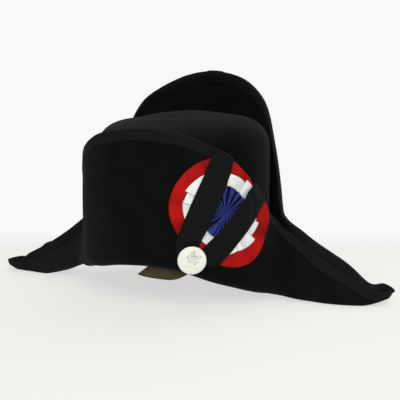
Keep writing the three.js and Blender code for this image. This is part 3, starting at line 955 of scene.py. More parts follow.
@dataclass(frozen=True)
class BrimShape:
    """Middle surface of the felt in millimetres, as ribs from the crown to the brim's edge."""

    crown: CrownShape = field(default_factory=CrownShape)
    wall: float = 2.6
    fold_radius: float = 9.0
    fold_share: float = 0.4
    flap_bulge: float = 1.5
    bulge_span: Point = (40, 120)
    left: LeftSide = LeftSide()
    sway: float = 6.5
    sway_span: Span = ((100, 140), (195, 222))
    back_lean: float = 1.7
    lean_span: Point = (110, 180)
    keel_lift: float = 0.8
    bound: float = 11.6
    root_row: int = 7
    steps: int = 12

    @property
    def last(self) -> int:
        """Number of the left tip's station."""
        return 2 * (len(BRIM_ROWS) - 1)

    def stations(self, key: str) -> np.ndarray:
        """A column of the table for the right and the left.

        Args:
            key: Name of the column.

        Returns:
            Values from the right tip to the left tip.
        """
        right = np.array([row[BRIM_COLUMNS.index(key)] for row in BRIM_ROWS.values()], float)
        left = right[:-1][::-1]
        if key in SIDE_FLIPPED:
            left = -left
        if key == "in_deg":
            left = 180.0 - left
        return np.concatenate([right, left])

    def column(self, key: str, u: np.ndarray) -> np.ndarray:
        """Values of a column on a smooth curve through the rows.

        Args:
            key: Name of the column.
            u: Stations, counted from the right tip.

        Returns:
            One value for each station.
        """
        rows = self.stations(key)
        past = -1.0 if key in MIRRORED_AT_TIP else 1.0
        padded = np.concatenate([[past * rows[1]], rows, [past * rows[-2]]])
        i = np.clip(np.floor(u).astype(int), 0, self.last - 1)
        w = u - i
        return between(*(padded[i + k] for k in range(4)), w)

    def on_crown(self, u: np.ndarray) -> np.ndarray:
        """True where a rib starts on the crown."""
        return (u >= self.root_row) & (u <= self.last - self.root_row)

    def swayed(self, x: np.ndarray) -> np.ndarray:
        """How far the horns' folds lie to the front on the right and to the back on the left."""
        return -np.sign(x) * self.sway * within(np.abs(x), self.sway_span)

    def floor(self, z: np.ndarray) -> np.ndarray:
        """Height of the felt's middle where the fold would lie at z, kept above the ground."""
        return np.maximum(z, 0.0) + self.wall / 2

    def rib_lines(self, u: np.ndarray, side: Side) -> np.ndarray:
        """Fine lines of ribs: floor of the fold, its turn, then the flap.

        Args:
            u: Stations of the ribs.
            side: Half of the brim.

        Returns:
            Points by rib and place on the rib.
        """
        letter = "a" if side is Side.FRONT else "b"
        lift = self.column("lift", u)
        keel_x = self.column("in_x", u)
        keel = np.stack([keel_x, self.swayed(keel_x),
                         self.floor(self.column("in_z", u) - self.keel_lift * lift)], axis=-1)
        rim = self.crown.base(self.column("in_deg", u), side)
        inner = np.where(self.on_crown(u)[:, None], rim, keel)
        edge = np.stack([self.column(letter + "x", u),
                         side.value * np.maximum(0.0, self.column(letter + "y", u)),
                         self.column(letter + "z", u)], axis=-1)
        if side is Side.BACK:
            edge[:, 0] -= self.back_lean * smooth(edge[:, 2], *self.lean_span)
        edge = self.left.shift(edge, side)
        foot_z = self.floor(self.column("fz", u) - lift)
        foot_x = self.column("fx", u)
        foot_y = side.value * np.maximum(0.0, self.column("fy", u)) + self.swayed(foot_x)
        turn_rise = np.minimum(self.fold_radius, self.fold_share * (edge[:, 2] - foot_z))
        foot = np.stack([foot_x, foot_y, foot_z + turn_rise], axis=-1)
        low = mix(inner, foot, self.column("turn", u)[:, None])
        low[:, 2] = np.minimum(foot_z, inner[:, 2])
        out = unit(edge * np.array([1.0, 1.0, 0.0]))
        bulge = self.flap_bulge * smooth(edge[:, 2] - foot[:, 2], *self.bulge_span)
        upright = smooth(np.minimum(u, self.last - u), self.root_row - 2, self.root_row)
        parts = []
        for k in range(self.steps):
            t = math.pi / 2 * k / self.steps
            early, late = math.sin(t), 1 - math.cos(t)
            p = mix(inner, low, mix(early, late, upright)[:, None])
            p[:, 2] = mix(inner[:, 2], low[:, 2], mix(late, early, upright))
            parts.append(p)
        for k in range(self.steps):
            t = math.pi / 2 * k / self.steps
            p = mix(low, foot, math.sin(t))
            p[:, 2] = foot[:, 2] - (foot[:, 2] - low[:, 2]) * math.cos(t)
            parts.append(p)
        for k in range(2 * self.steps + 1):
            w = k / (2 * self.steps)
            parts.append(mix(foot, edge, w) + out * (4 * bulge * w * (1 - w))[:, None])
        return np.stack(parts, axis=1)


@dataclass
class FeltBody:
    """Crown and brim in one piece of felt."""

    shape: BrimShape = field(default_factory=BrimShape)
    horn_ribs: int = 8
    crown_ribs: int = 10
    floor_columns: int = 9
    turn_columns: int = 9
    flap_columns: int = 18
    bound_columns: int = 5
    stretch_ends: Point = (0.22, 0.44)
    most_bound: float = 0.45
    crown_rings: tuple[int, int, int] = (14, 12, 12)
    soften: int = 12
    soft_points: int = 97
    waver: float = 0.35
    waver_length: float = 55.0
    waver_columns: Point = (4, 14)
    waver_z: Point = (4, 30)
    finish: FeltFinish = field(default_factory=FeltFinish)

    def __post_init__(self) -> None:
        """Works out the ribs of both halves."""
        stations: list[float] = []
        for k in range(self.shape.last):
            both = self.shape.on_crown(np.array([k, k + 1], float)).all()
            count = self.crown_ribs if both else self.horn_ribs
            stations += [k + w / count for w in range(count)]
        self.u = np.array([*stations, float(self.shape.last)])
        self.grids = {side: self.half(side) for side in Side}

    def half(self, side: Side) -> np.ndarray:
        """Ribs of one half, with even columns on each stretch.

        Args:
            side: Half of the brim.

        Returns:
            Points by rib and column, in millimetres.
        """
        counts = (self.floor_columns, self.turn_columns, self.flap_columns, self.bound_columns)
        ribs = []
        for line in self.shape.rib_lines(self.u, side):
            line = self.softened(line)
            total = run_lengths(line)[-1]
            bound = total - min(self.shape.bound, self.most_bound * total)
            marks = [0.0, *(share * bound for share in self.stretch_ends), bound, total]
            places = [mix(marks[k], marks[k + 1], np.arange(n) / n) for k, n in enumerate(counts)]
            ribs.append(along(line, np.concatenate([*places, [total]])))
        grid = np.array(ribs)
        grid[:, :, 2] = np.maximum(grid[:, :, 2], self.shape.wall / 2)
        return self.wavered(grid)

    def softened(self, line: np.ndarray) -> np.ndarray:
        """A rib with its creases rounded as felt rounds them.

        Args:
            line: Points of the rib.

        Returns:
            Evenly spaced points of the rounded rib.
        """
        even = along(line, np.linspace(0.0, run_lengths(line)[-1], self.soft_points))
        for _ in range(self.soften):
            even[1:-1] = 0.5 * even[1:-1] + 0.25 * (even[:-2] + even[2:])
        return even

    def wavered(self, grid: np.ndarray) -> np.ndarray:
        """Slight unevenness of hand-shaped felt, which fades out at the crown and near the ground.

        Args:
            grid: Points by rib and column.

        Returns:
            The uneven grid.
        """
        normal = grid_normals(grid)
        share = smooth(np.arange(grid.shape[1]), *self.waver_columns)[None, :]
        share = share * smooth(grid[:, :, 2], *self.waver_z)
        amount = np.array([[noise.noise(Vector(p) / self.waver_length) for p in rib] for rib in grid])
        return grid + normal * (self.waver * share * amount)[:, :, None]

    def crown_grid(self) -> np.ndarray:
        """Rings of the crown over the inner ends of the ribs.

        Returns:
            Points by ring and place on the ring.
        """
        on = self.shape.on_crown(self.u)
        front, back = self.grids[Side.FRONT][on, 0], self.grids[Side.BACK][on, 0]
        rim = np.concatenate([front, back[::-1][1:]])
        crown = self.shape.crown
        angle = np.arctan2(rim[:, 1] / crown.half_depth, rim[:, 0] / crown.half_width)
        return np.array([rim, *(crown.ring(rim, angle, level) for level in crown.levels(*self.crown_rings))])

    def build(self) -> list[bpy.types.Object]:
        """Makes the felt's wall and dresses it.

        Returns:
            The finished piece.
        """
        grids = [ClothGrid(self.grids[side]) for side in Side] + [ClothGrid(self.crown_grid())]
        mesh = cloth_mesh("felt_body", grids, self.shape.wall, weld=0.02)
        return [dress("felt", mesh, self.finish.material(), "felt_body")]


def grid_normals(grid: np.ndarray) -> np.ndarray:
    """Normals of a grid from its neighbours' differences."""
    return unit(np.cross(np.gradient(grid, axis=0), np.gradient(grid, axis=1)))


# Sewing

@dataclass(frozen=True)
class Stitch:
    """Sizes of a row's stitches: millimetres, and radians for the lean."""

    pitch: float = 3.4
    length: float = 2.3
    thick: float = 0.45
    lean: float = 0.10


class Sewing:
    """Rows of stitches along lines, made by one Geometry Nodes group."""

    BALL = {"Segments": 8, "Rings": 5, "Radius": 0.5}

    def __init__(self) -> None:
        """Builds the group."""
        made = Recipe("stitch_row", {"Line": "Geometry", "Pitch": "Float", "Length": "Float",
                                     "Thickness": "Float", "Lean": "Float", "Seed": "Int",
                                     "Thread": "Material"})
        line, pitch, length, thick, lean, seed, thread = made.given.values()
        curve = made.node("GeometryNodeMeshToCurve", inputs={"Mesh": line})
        marks = made.node("GeometryNodeResampleCurve", {"mode": "LENGTH"}, {"Curve": curve, "Length": pitch})
        way = made.node("FunctionNodeAlignRotationToVector", {"axis": "X"},
                        {"Vector": made.node("GeometryNodeInputTangent")})
        slip = made.drawn(lean * -1.0, lean, seed)
        turned = made.node("FunctionNodeRotateRotation", {"rotation_space": "LOCAL"},
                           {0: way, 1: made.turn(Y=slip, Z=slip)})
        ball = made.node("GeometryNodeMeshUVSphere", inputs=self.BALL)
        size = made.node("ShaderNodeCombineXYZ", inputs={"X": length, "Y": thick, "Z": thick})
        stitch = made.node("GeometryNodeTransform", inputs={"Geometry": ball, "Scale": size})
        row = made.node("GeometryNodeInstanceOnPoints",
                        inputs={"Points": marks, "Instance": stitch, "Rotation": turned})
        made.end(row, thread)
        self.recipe = made

    def sew(self, name: str, line: np.ndarray, thread: bpy.types.Material, slot: str, seed: int,
            stitch: Stitch = Stitch()) -> bpy.types.Object:
        """Sews one row.

        Args:
            name: Name of the row.
            line: Points of its line in millimetres.
            thread: Finish of the thread.
            slot: Not used.
            seed: Seed of the stitches' lean.
            stitch: Sizes of the stitches.

        Returns:
            The row as a piece.
        """
        path = bpy.data.meshes.new(name + "_line")
        path.from_pydata([row_metres(p) for p in line], [(k, k + 1) for k in range(len(line) - 1)], [])
        mesh = self.recipe.made_from(name, path, {
            "Pitch": stitch.pitch * MM, "Length": stitch.length * MM, "Thickness": stitch.thick * MM,
            "Lean": stitch.lean, "Seed": seed, "Thread": thread})
        return dress(name, mesh, thread)


# Ribbon round the edge

@dataclass
class EdgeBinding:
    """Ribbon folded over the brim's edge, its ends lapped at the middle of the back."""

    felt: FeltBody
    sewing: Sewing
    wall: float = 0.45
    air: float = 0.12
    over_edge: float = 0.9
    lap_ribs: int = 5
    lap_rise: float = 0.8
    deep_columns: int = 4
    deep_zone: Point = (100.0, 122.0)
    least_deep: float = 0.05
    foot_waver: float = 0.14
    waver_length: float = 23.0
    turn_degrees: tuple[float, ...] = (40.0, 90.0, 140.0)
    stitch_in: float = 0.6
    stitch_rise: float = 0.05
    flat: Point = (0.0275, 1.44)
    finish: RibbonFinish = RibbonFinish("binding_ribbon", width=0.0275)
    thread: ThreadFinish = ThreadFinish("black_thread", (0.0020, 0.0024, 0.0023))

    def loop(self) -> tuple[np.ndarray, np.ndarray]:
        """Bound part of the ribs and a little below it, once round from the middle of the back.

        Returns:
            Points and outward normals by rib and column.
        """
        zone = slice(-self.felt.bound_columns - 1 - self.deep_columns, None)
        front, back = self.felt.grids[Side.FRONT], self.felt.grids[Side.BACK]
        out_front, out_back = -grid_normals(front), grid_normals(back)
        for tip in (0, -1):
            both = unit(out_front[tip] + out_back[tip])
            out_front[tip], out_back[tip] = both, both
        points = np.concatenate([front[:, zone], back[::-1][1:-1, zone]])
        normals = np.concatenate([out_front[:, zone], out_back[::-1][1:-1, zone]])
        start = len(front) + len(back) // 2 - 1
        return np.roll(points, -start, axis=0), np.roll(normals, -start, axis=0)

    def build(self) -> list[bpy.types.Object]:
        """Makes the ribbon and its two rows of stitches.

        Returns:
            The ribbon and the rows.
        """
        points, normals = self.loop()
        count = len(points)
        order = np.arange(count + self.lap_ribs) % count
        points, normals = points[order], normals[order]
        lift = self.lap_rise * (np.arange(len(order)) >= count - 1)
        off = self.felt.shape.wall / 2 + self.air + self.wall / 2 + lift[:, None, None]
        waver = np.array([noise.noise(Vector(p) / self.waver_length) for p in points[:, 0]])
        waver = self.foot_waver * waver
        deep = np.maximum(smooth(np.abs(points[:, -1, 0]), *self.deep_zone), self.least_deep)[:, None, None]
        zone = slice(self.deep_columns, None)
        out_mid, in_mid = points[:, zone].copy(), points.copy()
        in_mid[:, :self.deep_columns] = mix(out_mid[:, :1], points[:, :self.deep_columns], deep)
        for mid in (out_mid, in_mid):
            mid[:, 0] += (mid[:, 0] - mid[:, 1]) * waver[:, None]
        edge, normal = points[:, -1:], normals[:, -1:]
        out = unit(points[:, -1:] - points[:, -2:-1])
        outer, inner = out_mid + normals[:, zone] * off, in_mid - normals * off
        past = self.over_edge + lift[:, None, None]
        turns = [edge + normal * off * math.cos(t) + out * past * math.sin(t)
                 for t in np.radians(self.turn_degrees)]
        grid = np.concatenate([outer, *turns, inner[:, ::-1]], axis=1)
        ribbon = dress("edge_ribbon", cloth_mesh("edge_ribbon", [ClothGrid(grid)], self.wall),
                       self.finish.material(), "edge_binding")
        thread = self.thread.material()
        line = mix(out_mid[:count, 0], out_mid[:count, 1], self.stitch_in)
        rise = off[:count, 0] + self.wall / 2 + self.stitch_rise
        rows = []
        for seed, (name, sign) in enumerate((("edge_stitches_out", 1.0), ("edge_stitches_in", -1.0))):
            sewn = line + sign * normals[:count, self.deep_columns] * rise
            rows.append(self.sewing.sew(name, sewn, thread, "binding", seed))
        return [ribbon, *rows]


# Cockade

@dataclass
class FlapFace:
    """Outer face of the front flap, by arc from the cockade's middle and height in millimetres."""

    shape: BrimShape
    middle_x: float = 74.2
    ribs: int = 241
    before_root: float = 0.9
    past_root: float = 5.0
    track_share: float = 0.7
    over_ribbon: float = 0.8
    over_span: Point = (3.0, 11.0)

    def __post_init__(self) -> None:
        """Lays out the flap's lines from the horn's root to past the middle of the front."""
        root = self.shape.root_row
        u = np.linspace(root - self.before_root, root + self.past_root, self.ribs)
        self.flaps = self.shape.rib_lines(u, Side.FRONT)[:, self.shape.steps:]
        track = self.flaps[:, int(self.flaps.shape[1] * self.track_share)]
        self.arc = run_lengths(track[:, :2])
        self.zero = self.arc[np.argmax((track[:, 0] <= self.middle_x) & (u > root))]

    def middle(self, arc: np.ndarray, z: np.ndarray) -> tuple[np.ndarray, np.ndarray]:
        """Middle of the felt.

        Args:
            arc: Arcs from the cockade's middle, rightward positive.
            z: Heights; past the edge they stay on it.

        Returns:
            Points, and the edge's height at each arc.
        """
        target = self.zero - arc
        k = np.clip(np.searchsorted(self.arc, target), 1, len(self.arc) - 1)
        w = np.clip((target - self.arc[k - 1]) / (self.arc[k] - self.arc[k - 1]), 0, 1)
        flap = mix(self.flaps[k - 1], self.flaps[k], w[:, None, None])
        each = np.arange(len(k))
        level = flap[:, :, 2]
        i = np.clip((level < z[:, None]).sum(axis=1), 1, level.shape[1] - 1)
        low, high = level[each, i - 1], level[each, i]
        v = np.clip((z - low) / (high - low), 0, 1)
        return mix(flap[each, i - 1], flap[each, i], v[:, None]), level[:, -1]

    def normal(self, arc: np.ndarray, z: np.ndarray) -> np.ndarray:
        """Normals of the flap.

        Args:
            arc: Arcs from the cockade's middle.
            z: Heights.

        Returns:
            Normals that point to the front.
        """
        right = self.middle(arc + 1, z)[0] - self.middle(arc - 1, z)[0]
        low = np.minimum(z, self.middle(arc, z)[1]) - 3
        up = self.middle(arc, low + 2)[0] - self.middle(arc, low - 2)[0]
        return unit(np.cross(right, up))

    def over(self, arc: np.ndarray, z: np.ndarray) -> np.ndarray:
        """Extra height over the edge ribbon where a piece lies near the edge.

        Args:
            arc: Arcs from the cockade's middle.
            z: Heights along the flap.

        Returns:
            One height for each arc.
        """
        depth = self.middle(arc, z)[1] - z
        near, far = (self.shape.bound + reach for reach in self.over_span)
        return self.over_ribbon * (1 - smooth(depth, near, far))

    def at(self, arc: np.ndarray, z: np.ndarray, height: np.ndarray) -> np.ndarray:
        """Points above the felt's outer face.

        Args:
            arc: Arcs from the cockade's middle.
            z: Heights along the flap; past the edge they stay on it.
            height: Heights above the face.

        Returns:
            One point for each arc.
        """
        reach = np.minimum(z, self.middle(arc, z)[1])
        rise = (self.shape.wall / 2 + height)[:, None]
        return self.middle(arc, reach)[0] + self.normal(arc, reach) * rise


COCKADE_Z = 103.0

RED_RIM = ((3, 54.6), (18, 47.5), (33, 43), (47, 44), (63, 45.4), (72, 47.8), (85, 53), (105, 56.5),
           (123, 57.6), (144, 57.6), (165, 57.5), (177, 56.6), (191, 54.4), (203, 52), (230, 51),
           (262, 52), (274, 55.6), (290, 58.7), (305, 61.8), (313, 60.8), (323, 60.3), (340, 60.1),
           (349, 59))
WHITE_PLEATS = ((2, 38, 38), (16, 38.5, 39), (30, 41, 39.5), (48.5, 36.2, 39), (84, 41.5, 42.5),
                (104, 43.6, 45.5), (143, 43, 42.8), (161, 43.8, 40), (186, 39, 38), (204, 37.5, 37),
                (222, 35.6, 36), (241, 38, 40), (262, 42.5, 40.4), (283, 40.2, 41.4), (294, 42, 44.8),
                (315.5, 38.6, 42), (338, 40, 37))
BLUE_PLEATS = ((4, 24, 24), (20, 23.5, 24), (37, 23.8, 24.8), (55, 24.6, 26.4), (75.5, 27, 27.2),
               (96, 26, 25), (112, 25, 25), (128, 24.5, 24), (144, 24, 24), (159, 24, 24),
               (174, 23.5, 23.5), (190, 23, 22.5), (207, 22.4, 24.2), (237, 24.4, 24.6),
               (249, 24.2, 24.6), (261, 24.2, 24.4), (284, 24, 24), (300, 24, 23.5), (316, 24, 24),
               (332, 23.5, 24), (348, 24, 24))


class Pleat(Enum):
    """How a ring's cloth is gathered."""

    KNIFE = "sharp pleats that lap over one another"
    WAVE = "soft waves"


@dataclass(frozen=True)
class PleatedRing:
    """One gathered ring of the cockade; rims hold each pleat's start in degrees and its rim's radius.

    A third column is the radius at the pleat's end where it differs.
    """

    name: str
    finish: ClothFinish
    kind: Pleat
    rims: tuple[tuple[float, ...], ...]
    inner: float
    arc: float
    up: float
    seat: float
    rise: float
    flat: Point
    seed: int
    lap: float = 0.15
    # Strength of the painted shade in the slits between pleats
    slits: float = 0.0
    slit_at_rim: Point = (0.16, 0.48)
    # Share of the radius over which painted shade fades out in the middle
    light_middle: float = 0.06
    uneven: float = 0.25
    edge_gap: float = 0.4
    wall: float = 0.45
    rows: int = 18
    row_power: float = 0.85

    # Path across one knife pleat: share of its angle, height, painted shade of the fold, step to the next
    # rim
    KNIFE_PATH = ((0.00, 0.00, 1.00, 0.0), (0.06, 0.12, 0.60, 0.0), (0.14, 0.25, 0.25, 0.0),
                  (0.30, 0.46, 0.05, 0.0), (0.52, 0.70, 0.00, 0.0), (0.75, 0.89, 0.00, 0.0),
                  (0.93, 0.98, 0.00, 0.0), (1.00, 1.00, 0.00, 0.0), (1.80, 1.00, 0.00, 0.0),
                  (2.00, 0.90, 0.15, 0.0), (1.80, 0.70, 0.80, 0.3), (1.00, 0.42, 1.00, 0.6),
                  (0.60, 0.20, 1.00, 0.8))
    SLIT_IN_MIDDLE = (0.56, 0.74)
    WAVE_COLUMNS = 240
    WAVES_ROUND = (5, 8, 13)
    RIM_BLUR = np.linspace(-5, 5, 7)
    RIM_TRIALS = np.linspace(0.35, 1.0, 66)

    @property
    def closed(self) -> bool:
        """True where the cloth is gathered to a point in the ring's middle."""
        return self.inner < 1

    def knife_columns(self) -> np.ndarray:
        """Columns of knife pleats once round the ring.

        Returns:
            Angle, height, shade, rim radius and place in the pleat, one column a row.
        """
        draw = np.random.default_rng(self.seed)
        count = len(self.rims)
        start = np.radians([*(row[0] for row in self.rims), self.rims[0][0] + 360.0])
        high = 1 + self.uneven * draw.uniform(-1, 1, count)
        made = []
        for k in range(count):
            after = (k + 1) % count
            for share, height, shade, step in self.KNIFE_PATH:
                turned = share if share <= 1 and step == 0 else 1 + self.lap * (share - 1)
                angle = mix(start[k], start[k + 1], turned)
                own = mix(self.rims[k][1], self.rims[k][-1], turned)
                radius = mix(own, self.rims[after][1], step)
                made.append((angle, height * high[k], shade, radius, turned))
        first = made[0]
        return np.array([*made, (first[0] + 2 * math.pi, *first[1:])])

    def wave_columns(self) -> np.ndarray:
        """Columns of a softly waved ring.

        Returns:
            The same values as for knife pleats.
        """
        draw = np.random.default_rng(self.seed)
        angle = np.linspace(0.0, 2 * math.pi, self.WAVE_COLUMNS + 1)
        wave = 0 * angle
        for count in self.WAVES_ROUND:
            wave += np.sin(count * angle + draw.uniform(0, 2 * math.pi)) / 3
        height = 0.5 + 0.5 * wave
        spread = np.degrees(angle)[:, None] + self.RIM_BLUR[None, :]
        known = np.array(self.rims)
        rim = np.interp(spread, known[:, 0], known[:, 1], period=360).mean(axis=1)
        # Painted shade in the wave's valleys
        return np.stack([angle, height, 0.8 * (1 - height) ** 1.6, rim, 0 * angle + 0.5], axis=1)

    def on_flap(self, face: FlapFace, angle: np.ndarray, rim: np.ndarray) -> np.ndarray:
        """Rim radii cut back to the flap's edge.

        Args:
            face: Outer face of the flap.
            angle: Angles of the columns.
            rim: Their full radii.

        Returns:
            One radius for each column.
        """
        radii = self.RIM_TRIALS[None, :] * rim[:, None]
        z = COCKADE_Z + self.up + radii * np.sin(angle)[:, None]
        arc = self.arc + radii * np.cos(angle)[:, None]
        edge = face.middle(arc.ravel(), z.ravel())[1].reshape(z.shape)
        return np.where(z < edge - self.edge_gap, radii, 0.0).max(axis=1)

    def build(self, face: FlapFace) -> bpy.types.Object:
        """Makes the ring on the flap.

        Args:
            face: Outer face of the flap.

        Returns:
            The ring.
        """
        columns = self.knife_columns() if self.kind is Pleat.KNIFE else self.wave_columns()
        angle, height, shade, rim, place = columns.T
        rim = self.on_flap(face, angle, rim)
        share = np.linspace(0.0, 1.0, self.rows)[None, :] ** self.row_power
        radius = self.inner + (rim[:, None] - self.inner) * share
        arc = self.arc + radius * np.cos(angle)[:, None]
        z = COCKADE_Z + self.up + radius * np.sin(angle)[:, None]
        grown = share ** 0.5 if self.closed else 0.3 + 0.7 * share
        # Painted shade in the slits between pleats
        low, high = (self.lap + mix(middle, rim_end, share)
                     for middle, rim_end in zip(self.SLIT_IN_MIDDLE, self.slit_at_rim))
        slit_shade = 1 - smooth(place[:, None], low, high)
        # Painted shade of the folds and slits
        dark = np.maximum(shade[:, None], self.slits * slit_shade)
        # Painted shade fades out in the ring's middle
        if self.closed:
            dark = dark * smooth(share, 0.0, self.light_middle)
        lift = (self.seat + self.rise * height[:, None] * grown
                + face.over(arc.ravel(), z.ravel()).reshape(arc.shape))
        points = face.at(arc.ravel(), z.ravel(), lift.ravel()).reshape(*arc.shape, 3)
        run = np.concatenate([[0.0], np.cumsum(np.abs(np.diff(angle)))]) * rim.mean()
        length = np.repeat(run[:, None], self.rows, axis=1)
        grid = ClothGrid(points, across=radius, length=length, fold=dark)
        mesh = cloth_mesh(self.name, [grid], self.wall)
        ring = dress(self.name + "_cloth", mesh, self.finish.material(), self.name)
        return ring


@dataclass
class Cockade:
    """Three gathered rings, one on the other."""

    face: FlapFace
    red: PleatedRing = PleatedRing(
        "cockade_red", ClothFinish("red_cloth", (0.43, 0.0068, 0.0054), (0.08, 0.0016, 0.0014)),
        Pleat.WAVE, RED_RIM, inner=25, arc=3, up=-2, seat=0.5, rise=1.3, flat=(0.031, 0.32), seed=3)
    # The white has soft painted shade by its folds
    white: PleatedRing = PleatedRing(
        "cockade_white", ClothFinish("white_cloth", (0.72, 0.738, 0.71), (0.25, 0.26, 0.27)),
        Pleat.KNIFE, WHITE_PLEATS, inner=14, arc=1.5, up=-2, seat=2.2, rise=1.2,
        flat=(0.027, 0.33), seed=5, slits=0.3)
    # The blue has strong painted shade in its folds and slits
    blue: PleatedRing = PleatedRing(
        "cockade_blue",
        ClothFinish("blue_cloth", (0.024, 0.034, 0.165), (0.0004, 0.0018, 0.011), deep=1.05),
        Pleat.KNIFE, BLUE_PLEATS, inner=0.25, arc=-0.4, up=-1.6, seat=3.6, rise=2.0,
        flat=(0.025, 0.165), seed=8, lap=0.06, slits=0.97, slit_at_rim=(0.27, 0.45))

    def build(self) -> list[bpy.types.Object]:
        """Makes the three rings, lowest first."""
        return [ring.build(self.face) for ring in (self.red, self.white, self.blue)]


@dataclass
class CockadeLoop:
    """Ribbon in a narrow V over the cockade, folded under the button, ends over the flap's edge."""

    face: FlapFace
    wall: float = 0.6
    air: float = 0.45
    over_ribbon: float = 1.1
    tuck: float = 15.0
    tuck_rows: int = 6
    behind: float = 1.3
    edge_rise: float = 1.5
    edge_rows: int = 9
    fork: Point = (0.45, 0.6)
    fork_lift: float = 0.8
    across: int = 9
    steps: int = 12
    flat: Point = (0.0245, 0.28)
    finish: RibbonFinish = RibbonFinish("loop_ribbon", light=(0.0044, 0.0052, 0.0049), width=0.0245)

    LEFT = (((-8.7, 60), (-29, 17), (-44, -19.5), (-47.6, -30), (-47.5, -42), (-46.5, -52)),
            ((11.8, 50), (-7.3, 8), (-19.9, -20), (-27, -34.3), (-30, -43), (-32, -52)))
    RIGHT = (((37, 24.5), (19, 10.6), (1.2, -10.6), (-21.8, -34.3), (-29, -45), (-35, -53)),
             ((53.8, 4), (36.6, -10.8), (16, -29), (-4.4, -51.5), (-7, -53.2), (-9, -54)))
    OVER = ((0, 26, 32, 42, 47, 58, 66), (6.4, 6.3, 4.4, 3.7, 2.1, 1.7, 0.0))

    def height(self, arc: np.ndarray, dz: np.ndarray) -> np.ndarray:
        """Height of the ribbon's middle over the felt."""
        return (self.air + np.interp(np.hypot(arc, dz), *self.OVER)
                + self.over_ribbon * self.face.over(arc, COCKADE_Z + dz))

    def tucked(self, arc: np.ndarray) -> list[np.ndarray]:
        """Rows from the end inside the flap, up and over its edge.

        Args:
            arc: Arcs of the arm's columns at the edge.

        Returns:
            One row of points for each step.
        """
        edge, edge_z = self.face.middle(arc, np.full_like(arc, np.inf))
        normal = self.face.normal(arc, edge_z)
        back = self.face.shape.wall / 2 + self.behind
        front = self.face.shape.wall / 2 + self.height(arc, edge_z - COCKADE_Z)
        rows = []
        for depth in np.linspace(self.tuck, 0.0, self.tuck_rows + 1)[:-1]:
            rows.append(self.face.middle(arc, edge_z - depth)[0] - normal * back)
        for t in np.linspace(0.0, math.pi, self.edge_rows):
            out = mix(-back, front[:, None], 0.5 - 0.5 * math.cos(t))
            rows.append(edge + normal * out + np.array([0.0, 0.0, self.edge_rise * math.sin(t)]))
        return rows

    def arm(self, lines: tuple[Line, Line], lift: float) -> ClothGrid:
        """One arm of the V.

        Args:
            lines: Its two edge lines from the flap's edge to the fold.
            lift: Extra height at the fold, where one arm crosses the other.

        Returns:
            The arm's grid.
        """
        sides = [curve_through(line, self.steps) for line in lines]
        shares = np.linspace(0.0, 1.0, self.across)
        rows = self.tucked(mix(sides[0][0, 0], sides[1][0, 0], shares))
        for k, (p, q) in enumerate(zip(*sides)):
            arc, dz = (mix(p[c], q[c], shares) for c in (0, 1))
            rise = self.height(arc, dz) + lift * smooth(k / len(sides[0]), *self.fork)
            rows.append(self.face.at(arc, COCKADE_Z + dz, rise))
        return ClothGrid(np.array(rows))

    def build(self) -> list[bpy.types.Object]:
        """Makes both arms as one ribbon.

        Returns:
            The ribbon.
        """
        grids = [self.arm(self.LEFT, 0.0), self.arm(self.RIGHT, self.fork_lift)]
        mesh = cloth_mesh("loop_ribbon", grids, self.wall)
        ribbon = dress("loop_ribbon", mesh, self.finish.material(), "cockade_loop")
        return [ribbon]


